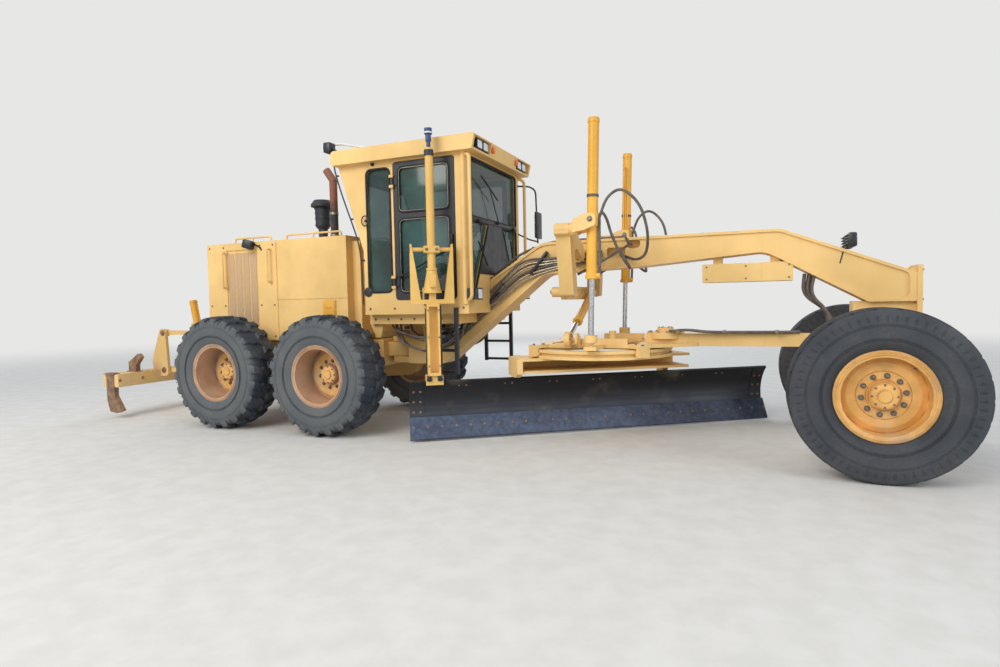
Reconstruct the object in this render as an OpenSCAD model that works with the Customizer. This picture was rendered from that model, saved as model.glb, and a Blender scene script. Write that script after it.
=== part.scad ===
// Motor grader with a six-wheel running gear, an articulated frame, a drawbar, circle and blade,
// a grade-control mast on the blade and a rear ripper. Millimetres, +X forward, +Y left, +Z up.

/* [Running gear] */
// Front axle to tandem pivot
wheelbase = 6086; // [5900:1:6250]
// Front axle ahead of the origin
front_axle_x = 4150; // [4100:1:4200]
// Between the two axles of a tandem
tandem_spacing = 1511; // [1440:1:1560]
// Between the tyre centres of an axle
track = 2055; // [2030:1:2120]
// Tyre outside diameter, over the lugs
tyre_d = 1350; // [1330:1:1370]
// Tyre section width
tyre_w = 445; // [425:1:455]
// Rim flange diameter
rim_d = 711; // [690:1:730]
// Width of a rim over its flanges
rim_w = 385; // [370:1:400]

/* [Hood] */
// Hood length
hood_l = 2220; // [2100:1:2300]
// Hood width
hood_w = 1180; // [1120:1:1200]
// Hood top above the ground
hood_top_z = 2270; // [2200:1:2330]
// Thickness of a hood wall
hood_wall = 40; // [25:1:50]
// Depth of a seam between two hood panels
seam = 8; // [5:1:10]

/* [Cab] */
// Cab width over the walls
cab_w = 1500; // [1440:1:1510]
// Cab length at the floor
cab_l = 1300; // [1270:1:1340]
// Underside of the cab floor
cab_z = 1335; // [1320:1:1345]
// Top of the cab walls
cab_top_z = 3020; // [2990:1:3040]
// Thickness of a cab wall
cab_wall = 50; // [40:1:60]
// Thickness of the roof
roof_h = 160; // [120:1:180]

/* [Front frame] */
// Width of the main beam over its flanges
beam_w = 320; // [300:1:340]
// Depth that the webs of the beam lie inside its flanges
web_in = 18; // [12:1:24]
// Top of the main beam
beam_top_z = 2090; // [2060:1:2110]
// Depth of the main beam at the lift arms
beam_h = 340; // [300:1:360]

/* [Drawbar and circle] */
// Circle centre behind the front axle
circle_back = 2480; // [2460:1:2500]
// Circle outside diameter
circle_d = 1530; // [1500:1:1560]
// Underside of the circle
circle_z = 860; // [855:1:870]
// Thickness of the circle
circle_h = 90; // [85:1:95]
// Lift cylinder barrel diameter
lift_barrel_d = 105; // [100:1:120]
// Lift cylinder rod diameter
lift_rod_d = 55; // [50:1:60]
// Sideways distance of a lift cylinder
lift_y = 800; // [780:1:820]

/* [Blade] */
// Blade length
blade_l = 4150; // [4050:1:4200]
// Blade angle from straight ahead
blade_angle = 34.5; // [33.5:0.1:36]
// Blade cutting edge above the ground
edge_z = 20; // [15:1:30]
// Radius of the moldboard curve
mold_r = 450; // [440:1:460]
// Moldboard thickness
mold_t = 24; // [20:1:28]

/* [Ripper] */
// Ripper bar length
ripper_l = 2200; // [2100:1:2260]
// Ripper bar height
ripper_s = 170; // [150:1:180]

/* [Hidden] */

yellow = [0.87, 0.72, 0.42];
cylinder_yellow = [0.86, 0.66, 0.25];
tyre_grey = [0.16, 0.17, 0.19];
rim_tan = [0.72, 0.60, 0.42];
rim_ochre = [0.80, 0.62, 0.32];
steel_dark = [0.17, 0.18, 0.20];
frame_black = [0.10, 0.11, 0.12];
chrome = [0.75, 0.75, 0.76];
glass_teal = [0.20, 0.42, 0.42, 0.5];

fit = 0.3;
run = 6;
steps_round = 5;

axle_z = tyre_d / 2;
wheel_y = track / 2;
ax = front_axle_x;
tx = ax - wheelbase;
hx = tx + 1136;
cx = ax - circle_back;
cz = circle_z;

function unit(v) = v / norm(v);
// Arc that rounds the corner p between a and b
function round_corner(a, p, b, r, n) =
    r <= 0 ? [p] :
    let (
        u = unit(a - p),
        v = unit(b - p),
        half = acos(u * v) / 2,
        centre = p + unit(u + v) * r / sin(half),
        from = p + u * r / tan(half) - centre,
        to = p + v * r / tan(half) - centre,
        start = atan2(from.y, from.x),
        turn = atan2(from.x * to.y - from.y * to.x, from * to)
    )
    [for (i = [0:n]) centre + r * [cos(start + turn * i / n), sin(start + turn * i / n)]];
// Closed outline from rows of [across, up, corner radius]
function rounded(rows, n = steps_round) = [
    for (i = [0:len(rows) - 1])
        let (
            m = len(rows),
            q = rows[i],
            a = rows[(i + m - 1) % m],
            b = rows[(i + 1) % m]
        )
        each round_corner([a[0], a[1]], [q[0], q[1]], [b[0], b[1]], q[2], n)
];

// Plate whose outline is seen from the side, between two values of y
module side_plate(points, y0, y1) {
    translate([0, y1, 0]) rotate([90, 0, 0]) linear_extrude(y1 - y0) polygon(points);
}
// Plate whose outline is seen from the front, between two values of x
module front_plate(points, x0, x1) {
    translate([x0, 0, 0]) rotate([90, 0, 90]) linear_extrude(x1 - x0) polygon(points);
}
// Plate whose outline is seen from above
module plan_plate(points, z0, z1) {
    translate([0, 0, z0]) linear_extrude(z1 - z0) polygon(points);
}
module box(x, y, z) {
    translate([x[0], y[0], z[0]]) cube([x[1] - x[0], y[1] - y[0], z[1] - z[0]]);
}
module rod(p, q, r) {
    d = q - p;
    translate(p) rotate([0, acos(d.z / norm(d)), atan2(d.y, d.x)]) cylinder(h = norm(d), r = r, $fn = 48);
}
module pin_x(x0, x1, y, z, r) {
    translate([x0, y, z]) rotate([0, 90, 0]) cylinder(h = x1 - x0, r = r, $fn = 48);
}
module pin_y(x, y0, y1, z, r) {
    translate([x, y1, z]) rotate([90, 0, 0]) cylinder(h = y1 - y0, r = r, $fn = 48);
}
module pin_z(x, y, z0, z1, r) {
    translate([x, y, z0]) cylinder(h = z1 - z0, r = r, $fn = 48);
}
module both_sides() {
    children();
    mirror([0, 1, 0]) children();
}
// Left-hand pieces are drawn; the right-hand ones are their mirror images
module on_side(side) {
    mirror([0, side < 0 ? 1 : 0, 0]) children();
}

// Tyres and rims turn about +Y and are drawn about the origin, outside face at +Y
tread_r = tyre_d / 2;
bead_r = 318;
// Grooves between the lugs: count on a side, depth, outline [round the tyre, across it]
chevron = [20, 30, [[-75, 12], [-40, 12], [0, 110], [78, 230], [12, 230], [-45, 120]]];
notch = [26, 14, [[-14, 140], [14, 140], [30, 230], [-8, 230]]];
module tyre(grooves) {
    h = tyre_w / 2;
    section = rounded([
        [bead_r, -rim_w / 2 + 20, 0], [rim_d / 2 + 4, -rim_w / 2 + 20, 0], [rim_d / 2 + 60, -h + 4, 60],
        [tread_r - 110, -h, 60], [tread_r - 8, -h + 24, 30], [tread_r, -h + 110, 0],
        [tread_r, h - 110, 0], [tread_r - 8, h - 24, 30], [tread_r - 110, h, 60],
        [rim_d / 2 + 60, h - 4, 60], [rim_d / 2 + 4, rim_w / 2 - 20, 0], [bead_r, rim_w / 2 - 20, 0]
    ], 2);
    difference() {
        rotate([-90, 0, 0]) rotate_extrude($fn = 96) polygon(section);
        for (s = [-1, 1]) for (i = [0:grooves[0] - 1])
            rotate([0, (i + (s > 0 ? 0.5 : 0)) * 360 / grooves[0], 0])
            translate([0, 0, tread_r - grooves[1]])
            linear_extrude(grooves[1] + 20) polygon([for (p = grooves[2]) [p[0], s * p[1]]]);
    }
}
hub_r = 105;
spindle_r = 60;
// Rim: flanged barrel, a disc at the given offset and a hub with a blind bore
module rim(disc_y, hub_out) {
    f = rim_w / 2;
    barrel_in = bead_r - 18;
    rotate([-90, 0, 0]) rotate_extrude($fn = 72) polygon([
        [spindle_r + fit, disc_y - 110], [hub_r + 40, disc_y - 110], [hub_r + 40, disc_y - 24],
        [barrel_in - 40, disc_y - 24], [barrel_in, disc_y - 60], [barrel_in, -f + 10], [rim_d / 2 - 12, -f],
        [rim_d / 2, -f + 8], [rim_d / 2, -f + 19], [bead_r - fit, -f + 19.5], [bead_r - fit, f - 19.5],
        [rim_d / 2, f - 19], [rim_d / 2, f - 8], [rim_d / 2 - 12, f], [barrel_in, f - 10],
        [barrel_in, disc_y - 20], [barrel_in - 46, disc_y], [hub_r, disc_y], [hub_r, disc_y + hub_out],
        [0, disc_y + hub_out], [0, disc_y + 2], [spindle_r + fit, disc_y + 2]
    ]);
}
module at_wheel(x, side) {
    on_side(side) translate([x, wheel_y, axle_z]) children();
}
mid_x = tx + tandem_spacing / 2;
rear_x = tx - tandem_spacing / 2;
front_disc = 70;
rear_disc = -78;

// Tandem case, drawn for the left side
case_y0 = hood_w / 2 + 28;
case_y1 = wheel_y - tyre_w / 2 - 20;
trunnion_r = 110;
module tandem_case() {
    e = tandem_spacing / 2;
    difference() {
        side_plate(rounded([
            [tx - e - 190, axle_z - 185, 180], [tx, axle_z - 250, 600], [tx + e + 190, axle_z - 185, 180],
            [tx + e + 190, axle_z + 185, 180], [tx, axle_z + 250, 600], [tx - e - 190, axle_z + 185, 180]
        ], 4), case_y0, case_y1);
        pin_y(tx, case_y0 - 1, case_y0 + 60, axle_z, trunnion_r + fit);
    }
    for (x = [mid_x, rear_x]) pin_y(x, case_y1, wheel_y + rear_disc, axle_z, spindle_r);
}

// Rear half
rail_z = [830, 1020];
rail_y = [300, 370];
hood_z = 1030;
hood_x = [tx + 736 - hood_l, tx + 736];
rear_end_x = hood_x[0] - 180;
rear_end_top = 1180;
tongue_z = [815, 985];
hitch_r = 140;
pin_r = 50;
rip_low_z = 585;
rip_high_z = 1110;
rip_pivot_x = rear_end_x - 90;
module rear_frame() color(yellow) difference() {
    union() {
        both_sides() box([rear_end_x, tx + 700], rail_y, rail_z);
        box([tx + 640, tx + 760], [-rail_y[1], rail_y[1]], [700, 1020]);
        box([tx + 760, hx - 160], [-230, 230], [700, 1020]);
        hull() {
            box([hx - 160, hx - 150], [-130, 130], tongue_z);
            pin_z(hx, 0, tongue_z[0], tongue_z[1], 130);
        }
        box([rear_end_x, rear_end_x + 60], [-hood_w / 2 + 60, hood_w / 2 - 60], [500, rear_end_top]);
        for (x = [hood_x[0] + 60, hood_x[1] - 140]) {
            box([x, x + 80], [-hood_w / 2, hood_w / 2], [rail_z[1] - 30, hood_z]);
        }
        // Lugs and pins of the ripper links
        for (z = [rip_low_z, rip_high_z]) both_sides() {
            side_plate(rounded([
                [rip_pivot_x - 50, z - 50, 45], [rear_end_x + 5, z - 60, 0],
                [rear_end_x + 5, min(z + 60, rear_end_top), 0], [rip_pivot_x - 50, z + 50, 45]
            ]), rip_y - 15, rip_y + 15);
            pin_y(rip_pivot_x, rip_y - 75, rip_y, z, rip_pin_r);
        }
        // Ears of the ripper cylinders
        both_sides() for (y = [rip_cyl_y - 76, rip_cyl_y + 54]) difference() {
            side_plate(rounded([
                [rip_trunnion.x - 45, rip_trunnion.z - 60, 20], [rear_end_x + 5, 1010, 0], [rear_end_x + 5, rear_end_top, 0],
                [rip_trunnion.x + 40, rip_trunnion.z + 50, 40], [rip_trunnion.x - 45, rip_trunnion.z + 50, 40]
            ]), y, y + 22);
            pin_y(rip_trunnion.x, y - 1, y + 23, rip_trunnion.z, 25 + fit);
        }
    }
    pin_z(hx, 0, tongue_z[0] - 1, tongue_z[1] + 1, pin_r + fit);
}
module rear_axle() color(yellow) {
    translate([tx, 0, axle_z]) sphere(r = 265, $fn = 48);
    pin_y(tx, -case_y0 + 20, case_y0 - 20, axle_z, 130);
    pin_y(tx, -case_y0 - 55, case_y0 + 55, axle_z, trunnion_r);
    both_sides() box([tx - 120, tx + 120], rail_y, [axle_z + 60, rail_z[0]]);
}
module engine_block() color(steel_dark) {
    box([hood_x[0] + 700, hood_x[1] - 350], [-300, 300], [1060, 1850]);
    both_sides() for (x = [hood_x[0] + 760, hood_x[1] - 500]) box([x, x + 80], [250, rail_y[1]], [rail_z[1], 1080]);
}
grille_x = [hood_x[0] + 330, hood_x[0] + 860];
grille_z = [1170, 2180];
hood_split_x = hood_x[1] - 1055;
hood_split_z = 1525;
rear_grille_y = 480;
rear_grille_z = [1120, 2150];
module hood() color(yellow) difference() {
    union() {
        box(hood_x, [-hood_w / 2, hood_w / 2], [hood_z, hood_top_z]);
        box([hood_x[1] - 1, hood_x[1] + 110], [-470, 470], [hood_z + 70, hood_top_z - 60]);
        both_sides() box([hood_x[1] - 350, hood_x[1] - 170], [hood_w / 2 - 1, hood_w / 2 + 20], [1330, 1510]);
    }
    box([hood_x[0] + hood_wall, hood_x[1] - hood_wall], [-hood_w / 2 + hood_wall, hood_w / 2 - hood_wall],
        [hood_z - 1, hood_top_z - hood_wall]);
    for (s = [-1, 1]) {
        y = s * hood_w / 2;
        box(grille_x, [y - hood_wall - 1, y + hood_wall + 1], grille_z);
        // Seams between the hood panels
        box([hood_split_x, hood_x[1] + 1], [y - seam, y + seam], [hood_split_z, hood_split_z + 10]);
        box([hood_split_x - 5, hood_split_x + 5], [y - seam, y + seam], [hood_z - 1, hood_top_z + 1]);
    }
    box([hood_x[0] - 1, hood_x[0] + hood_wall + 1], [-rear_grille_y, rear_grille_y], rear_grille_z);
}
module hood_grilles() color(yellow) {
    strip = (grille_x[1] - grille_x[0] - 30) / 4;
    both_sides() difference() {
        box([grille_x[0] + fit, grille_x[1] - fit], [hood_w / 2 - 30, hood_w / 2 - 14], [grille_z[0] + fit, grille_z[1] - fit]);
        for (i = [0:3]) for (k = [0:13]) {
            x = grille_x[0] + 20 + i * strip;
            z = grille_z[0] + 30 + k * 68;
            box([x, x + strip - 20], [hood_w / 2 - 31, hood_w / 2 - 13], [z, z + 36]);
        }
    }
    difference() {
        box([hood_x[0] + 10, hood_x[0] + 26], [-rear_grille_y + fit, rear_grille_y - fit],
            [rear_grille_z[0] + fit, rear_grille_z[1] - fit]);
        for (k = [0:19]) box([hood_x[0] + 9, hood_x[0] + 27], [-rear_grille_y + 40, rear_grille_y - 40],
            [rear_grille_z[0] + 35 + k * 49, rear_grille_z[0] + 57 + k * 49]);
    }
}
exhaust_x = tx + 126;
cleaner_x = exhaust_x - 285;
stack_z = 3080;
module exhaust_stack() color([0.35, 0.27, 0.22]) {
    rod([exhaust_x, 0, hood_top_z], [exhaust_x, 0, stack_z], 50);
    rod([exhaust_x + 18, 0, stack_z - 40], [exhaust_x - 100, 0, stack_z + 120], 50);
    pin_z(exhaust_x, 0, hood_top_z, hood_top_z + 30, 75);
}
module pre_cleaner() color([0.22, 0.28, 0.32]) {
    translate([cleaner_x, 125, hood_top_z]) rotate_extrude($fn = 48) polygon([
        [0, 0], [60, 0], [60, 190], [95, 230], [100, 470], [150, 490], [150, 520], [110, 575], [0, 580]
    ]);
}

// Front half
lean_y = 740;
king_y = 880;
bolster_y = 165;
cab_sill_y = 640;
nose_x = ax + 400;
ball_x = ax - 300;
ball_z = 1050;
ball_r = 70;
lug_x = [105, 175];
web_y = beam_w / 2 - web_in;
bolt_y = 110;
bolt_z = [1090, 1510];
module front_frame() color(yellow) difference() {
    union() {
        // Main beam with the gooseneck behind and the nose in front
        side_plate(rounded([
            [nose_x, 1640, 0], [ax - 700, beam_top_z, 260], [ax - 3080, beam_top_z, 350], [ax - 3705, 1700, 20],
            [ax - 3860, 1310, 40], [ax - 4230, 1075, 260],
            [hx + 150, 1070, 0], [hx + 150, 730, 0], [ax - 4320, 730, 150],
            [ax - 3050, beam_top_z - beam_h - 5, 200],
            [ax - 2000, beam_top_z - beam_h + 35, 0], [ax - 830, 1880, 250], [ax + 30, 1385, 40], [nose_x, 1385, 0]
        ]), -beam_w / 2, beam_w / 2);
        // Axle post under the nose
        box([ax - 90, nose_x], [-bolster_y + 55, bolster_y - 55], [1100, 1390]);
        box([ax - lug_x[1] - 10, nose_x], [-bolster_y + 55, bolster_y - 55], [950, 1110]);
        // Bolster plate and its gussets
        front_plate(rounded([
            [-bolster_y, 900, 20], [bolster_y, 900, 20], [bolster_y, 1705, 20], [-bolster_y, 1705, 20]
        ]), nose_x, nose_x + 40);
        both_sides() side_plate([[nose_x - 60, 1660], [nose_x + 1, 1600], [nose_x + 1, 1700]], bolster_y - 50, bolster_y - 30);
        // Fork that holds the front axle
        for (x = [[ax + lug_x[0], ax + lug_x[1]], [ax - lug_x[1], ax - lug_x[0]]])
            front_plate(rounded([[-110, 960, 0], [-110, axle_z - 115, 90], [110, axle_z - 115, 90], [110, 960, 0]]), x[0], x[1]);
        // Hitch fork
        for (z = [[735, tongue_z[0] - run], [tongue_z[1] + run, 1065]]) hull() {
            box([hx + 151, hx + 160], [-hitch_r, hitch_r], z);
            pin_z(hx, 0, z[0], z[1], hitch_r);
        }
        pin_z(hx, 0, 720, 1080, pin_r);
        // Ball socket of the drawbar
        box([ball_x, ax - lug_x[1] - 9], [-115, 115], [ball_z - 115, ball_z + 115]);
        // Box under the beam on two hangers
        box([ax - 1400, ax - 585], [-150, 150], [1600, 1778]);
        for (x = [-1300, -780]) box([ax + x, ax + x + 80], [-90, 90], [1777, 1900]);
        // Floor frame of the cab: two long sills, three cross members, braces and brackets
        for (x = [hx - 55, hx + 480, hx + 1010]) box([x, x + 80], [-cab_sill_y, cab_sill_y], [cab_z - 110, cab_z]);
        both_sides() {
            box([hx - 55, hx + 1090], [cab_sill_y - 60, cab_sill_y], [cab_z - 110, cab_z]);
            side_plate([[hx - 100, cab_z - 90], [hx - 20, 1065], [hx + 40, 1065], [hx + 90, cab_z - 90]], cab_sill_y - 90, cab_sill_y - 59);
            side_plate([[hx + 430, cab_z - 109], [hx + 590, cab_z - 109], [hx + 560, 960], [hx + 470, 960]], 250, 300);
            box([hx + 470, hx + 560], [web_y - 20, 300], [960, 1040]);
        }
        box([hx - 30, hx + 20], [-cab_sill_y + 60, cab_sill_y - 60], [1064, 1130]);
        box([hx + 151, hx + 330], [-120, 120], [1060, cab_z - 100]);
        box([hx - 50, hx + 330], [-60, 60], [cab_z - 160, cab_z - 100]);
    }
    // The webs lie inside the flanges
    both_sides() side_plate(rounded([
        [nose_x - 55, 1634, 60], [ax - 705, beam_top_z - 27, 240], [ax - 3072, beam_top_z - 27, 330], [ax - 3660, 1697, 40],
        [ax - 3660, 1290, 40], [ax - 3058, beam_top_z - beam_h + 21, 220], [ax - 2000, beam_top_z - beam_h + 61, 0],
        [ax - 823, 1907, 250], [ax + 37, 1411, 30], [nose_x - 55, 1411, 60]
    ]), web_y, beam_w / 2 + 1);
    // Openings for the hoses
    both_sides() {
        side_plate(rounded([[ax - 2145, 1980, 40], [ax - 2007, 1980, 40], [ax - 2007, 2063, 40], [ax - 2145, 2063, 40]]), 60, web_y + 1);
        side_plate(rounded([[ax - 2360, 1888, 30], [ax - 2165, 1888, 30], [ax - 2165, 1995, 30], [ax - 2360, 1995, 30]]), 60, web_y + 1);
    }
    for (y = [-bolt_y, bolt_y]) for (z = bolt_z) pin_x(nose_x - 60, nose_x + 41, y, z, 13);
    translate([ball_x, 0, ball_z]) sphere(r = ball_r + fit, $fn = 48);
    pin_x(ax - 200, ax + 200, 0, axle_z - 20, 35 + fit);
}

module front_axle() color(yellow) {
    difference() {
        front_plate(rounded([
            [-lean_y + 40, axle_z - 85, 20], [-300, axle_z - 115, 60], [300, axle_z - 115, 60], [lean_y - 40, axle_z - 85, 20],
            [lean_y - 40, axle_z + 70, 20], [300, axle_z + 85, 60], [-300, axle_z + 85, 60], [-lean_y + 40, axle_z + 70, 20]
        ]), ax - 90, ax + 90);
        both_sides() box([ax - 100, ax + 100], [lean_y - 110, lean_y + 90], [axle_z - 175, axle_z + 125]);
    }
    both_sides() difference() {
        union() {
            box([ax - 60, ax + 60], [lean_y - 111, lean_y], [axle_z - 65, axle_z + 65]);
            pin_x(ax - 60, ax + 60, lean_y, axle_z, 70);
        }
        pin_x(ax - 61, ax + 61, lean_y, axle_z, 30 + fit);
    }
    pin_x(ax - 190, ax + 190, 0, axle_z - 20, 35);
}
// Yoke that leans about the axle end and carries the kingpin barrel, drawn for the left side
bar_up = 150;
module lean_yoke() {
    difference() {
        union() {
            pin_x(ax - 100, ax + 100, lean_y, axle_z, 30);
            for (x = [[ax - 96, ax - 66], [ax + 66, ax + 96]]) {
                front_plate(rounded([
                    [lean_y - 55, axle_z - 70, 30], [lean_y + 120, axle_z - 90, 10], [lean_y + 120, axle_z + 90, 10],
                    [lean_y + 45, axle_z + bar_up + 40, 30], [lean_y - 45, axle_z + bar_up + 40, 30]
                ]), x[0], x[1]);
            }
            box([ax - 80, ax + 80], [lean_y + 78, lean_y + 100], [axle_z - 85, axle_z + 85]);
            box([ax - 50, ax + 50], [lean_y + 95, king_y], [axle_z - 100, axle_z + 100]);
            pin_z(ax, king_y, axle_z - 110, axle_z + 110, 60);
        }
        pin_z(ax, king_y, axle_z - 111, axle_z + 111, 28 + fit);
    }
    pin_x(ax - 98, ax + 98, lean_y, axle_z + bar_up, 18);
}
module lean_bar() color(yellow) difference() {
    union() {
        box([ax - 30, ax + 30], [-lean_y, lean_y], [axle_z + bar_up - 25, axle_z + bar_up + 25]);
        both_sides() pin_x(ax - 30, ax + 30, lean_y, axle_z + bar_up, 38);
    }
    both_sides() pin_x(ax - 31, ax + 31, lean_y, axle_z + bar_up, 18 + fit);
}
module knuckle() {
    pin_z(ax, king_y, axle_z - 150, axle_z + 150, 28);
    for (z = [[116, 150], [-150, -116]]) hull() {
        pin_z(ax, king_y, axle_z + z[0], axle_z + z[1], 50);
        box([ax - 60, ax + 60], [king_y + 68, king_y + 80], [axle_z + z[0], axle_z + z[1]]);
    }
    box([ax - 75, ax + 75], [king_y + 68, king_y + 100], [axle_z - 150, axle_z + 150]);
    pin_y(ax, king_y + 99, wheel_y + front_disc, axle_z, spindle_r);
}

// Cab
cab_x = [hx - 40, hx - 40 + cab_l];
cab_y = cab_w / 2;
kink_z = 2050;
rear_lean = 310;
floor_z = cab_z + 130;
door_x = [hx + 370, hx + 1130];
door_z = [1490, 3000];
side_win_x = [hx + 25, hx + 330];
side_win_z = [1585, 2945];
shield_y = 640;
shield_z = [1560, 2985];
rear_win_y = 580;
rear_win_z = [2150, 2900];
brow_x = cab_x[1] + 60;
hinge_y = cab_y + 22;
hinge_z = [1650, 2750];
// Window outlines: side, door and front ones
function pane(x, z, r) = rounded([[x[0], z[0], r], [x[1], z[0], r], [x[1], z[1], r], [x[0], z[1], r]]);
upper_shield = rounded([[-shield_y, 2370, 50], [shield_y, 2370, 50], [shield_y, shield_z[1], 50], [-shield_y, shield_z[1], 50]]);
lower_shield = rounded([[shield_y, 2320, 50], [200, 2320, 40], [shield_y - 60, shield_z[0], 30], [shield_y, shield_z[0], 30]]);
rear_wall_slope = rear_lean / (cab_top_z - kink_z);
function rear_wall_x(z) = cab_x[0] - rear_wall_slope * (z - kink_z);
module cab_body() color(yellow) difference() {
    union() {
        side_plate([
            [cab_x[1], cab_z], [cab_x[1], cab_top_z], [cab_x[0] - rear_lean, cab_top_z], [cab_x[0], kink_z], [cab_x[0], cab_z]
        ], -cab_y, cab_y);
        // Hinge lugs above and below each door hinge
        both_sides() for (z = hinge_z) for (h = [[z - 30, z - fit], [z + 80 + fit, z + 110]]) {
            box([door_x[0] - 30, door_x[0] - 2], [cab_y - 1, hinge_y + 12], h);
            pin_z(door_x[0] + 6, hinge_y, h[0], h[1], 14);
        }
        // Round corner posts in front of the doors
        both_sides() pin_z(cab_x[1] - 33, cab_y - 5, cab_z + 100, cab_top_z, 32);
    }
    both_sides() for (z = hinge_z) pin_z(door_x[0] + 6, hinge_y, z - 31, z + 111, 7 + fit);
    side_plate([
        [cab_x[1] - cab_wall, floor_z], [cab_x[1] - cab_wall, cab_top_z + 1], [cab_x[0] - rear_lean + cab_wall, cab_top_z + 1],
        [cab_x[0] + cab_wall, kink_z + 8], [cab_x[0] + cab_wall, floor_z]
    ], -cab_y + cab_wall, cab_y - cab_wall);
    both_sides() {
        side_plate(pane(door_x, door_z, 40), cab_y - cab_wall - 1, cab_y + 1);
        side_plate(pane(side_win_x, side_win_z, 70), cab_y - cab_wall - 1, cab_y + 1);
        front_plate(lower_shield, cab_x[1] - cab_wall - 1, cab_x[1] + 1);
    }
    front_plate(upper_shield, cab_x[1] - cab_wall - 1, cab_x[1] + 1);
    box([cab_x[0] - rear_lean, cab_x[0] + 60], [-rear_win_y, rear_win_y], rear_win_z);
    // Notch that the gooseneck passes through
    box([cab_x[1] - 230, cab_x[1] + 1], [-beam_w / 2 - 20, beam_w / 2 + 20], [cab_z - 1, 1735]);
}
module cab_roof() color(yellow) difference() {
    side_plate(rounded([
        [cab_x[0] - rear_lean - 50, cab_top_z, 30], [cab_x[1] + 110, cab_top_z, 10],
        [cab_x[1] + 150, cab_top_z + roof_h, 20], [cab_x[0] - rear_lean - 30, cab_top_z + roof_h, 40]
    ]), -cab_y - 90, cab_y + 90);
    // Recesses of the front lamps
    both_sides() box([brow_x, cab_x[1] + 151], [390, cab_y + 50], [cab_top_z + 22, cab_top_z + roof_h - 22]);
}
module cab_glass() color(glass_teal) {
    both_sides() side_plate(pane([side_win_x[0] + fit, side_win_x[1] - fit], [side_win_z[0] + fit, side_win_z[1] - fit], 70),
        cab_y - 30, cab_y - 22);
    inset = [cab_x[1] - 30, cab_x[1] - 22];
    front_plate(rounded([
        [-shield_y + fit, 2370 + fit, 50], [shield_y - fit, 2370 + fit, 50],
        [shield_y - fit, shield_z[1] - fit, 50], [-shield_y + fit, shield_z[1] - fit, 50]
    ]), inset[0], inset[1]);
    both_sides() front_plate(rounded([
        [shield_y - fit, 2320 - fit, 50], [201, 2320 - fit, 40], [shield_y - 59, shield_z[0] + fit, 30],
        [shield_y - fit, shield_z[0] + fit, 30]
    ]), inset[0], inset[1]);
    z = [rear_win_z[0] + fit, rear_win_z[1] - fit];
    side_plate([
        [rear_wall_x(z[0]) + 20, z[0]], [rear_wall_x(z[0]) + 28, z[0]], [rear_wall_x(z[1]) + 28, z[1]], [rear_wall_x(z[1]) + 20, z[1]]
    ], -rear_win_y + fit, rear_win_y - fit);
}
door_t = 40;
door_win_x = [door_x[0] + 70, door_x[1] - 70];
door_win_z = [[1575, 2375], [2450, 2935]];
module door() {
    difference() {
        side_plate(pane([door_x[0] + run, door_x[1] - run], [door_z[0] + run, door_z[1] - run], 40), cab_y - door_t, cab_y);
        for (z = door_win_z) side_plate(pane(door_win_x, z, 60), cab_y - door_t - 1, cab_y + 1);
    }
    for (z = hinge_z) {
        pin_z(door_x[0] + 6, hinge_y, z, z + 80, 14);
        pin_z(door_x[0] + 6, hinge_y, z - 28, z + 108, 7);
        box([door_x[0] + 8, door_x[0] + 60], [cab_y - 1, cab_y + 14], [z, z + 80]);
    }
}
module door_glass() {
    for (z = door_win_z)
        side_plate(pane([door_win_x[0] + fit, door_win_x[1] - fit], [z[0] + fit, z[1] - fit], 60), cab_y - 25, cab_y - 17);
}
module seat() color(frame_black) {
    box([hx + 250, hx + 450], [-150, 150], [floor_z, 1800]);
    box([hx + 120, hx + 620], [-250, 250], [1800, 1930]);
    box([hx + 90, hx + 200], [-250, 250], [1925, 2560]);
}
module console() color(frame_black) {
    side_plate([
        [cab_x[1] - 400, floor_z], [cab_x[1] - 180, floor_z], [cab_x[1] - 180, 2050], [cab_x[1] - 360, 2050],
        [cab_x[1] - 360, floor_z + 136], [cab_x[1] - 400, floor_z + 136]
    ], -190, 190);
    // Steering column and wheel
    translate([cab_x[1] - 410, 0, 2190]) rotate([0, -34, 0]) {
        translate([0, 0, -190]) cylinder(h = 200, r = 24, $fn = 32);
        difference() {
            cylinder(h = 26, r = 200, $fn = 64);
            translate([0, 0, -1]) cylinder(h = 28, r = 172, $fn = 64);
        }
        box([-34, 34], [-180, 180], [3, 21]);
    }
    for (y = [-150, 150]) pin_z(cab_x[1] - 230, y, 2000, 2200, 12);
}
module steps() color(frame_black) {
    both_sides() {
        for (x = [hx + 750, hx + 1100]) box([x, x + 40], [cab_y, cab_y + 36], [690, cab_z + 65]);
        for (z = [700, 930, 1160]) box([hx + 789, hx + 1101], [cab_y + 4, cab_y + 32], [z, z + 30]);
    }
}
module lamps() color(frame_black) {
    both_sides() {
        for (y = [[430, 560], [580, 710]]) box([brow_x, brow_x + 60], y, [cab_top_z + 30, cab_top_z + roof_h - 30]);
        box([cab_x[1], cab_x[1] + 120], [cab_y - 90, cab_y + 30], [1480, 1600]);
    }
}

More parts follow.
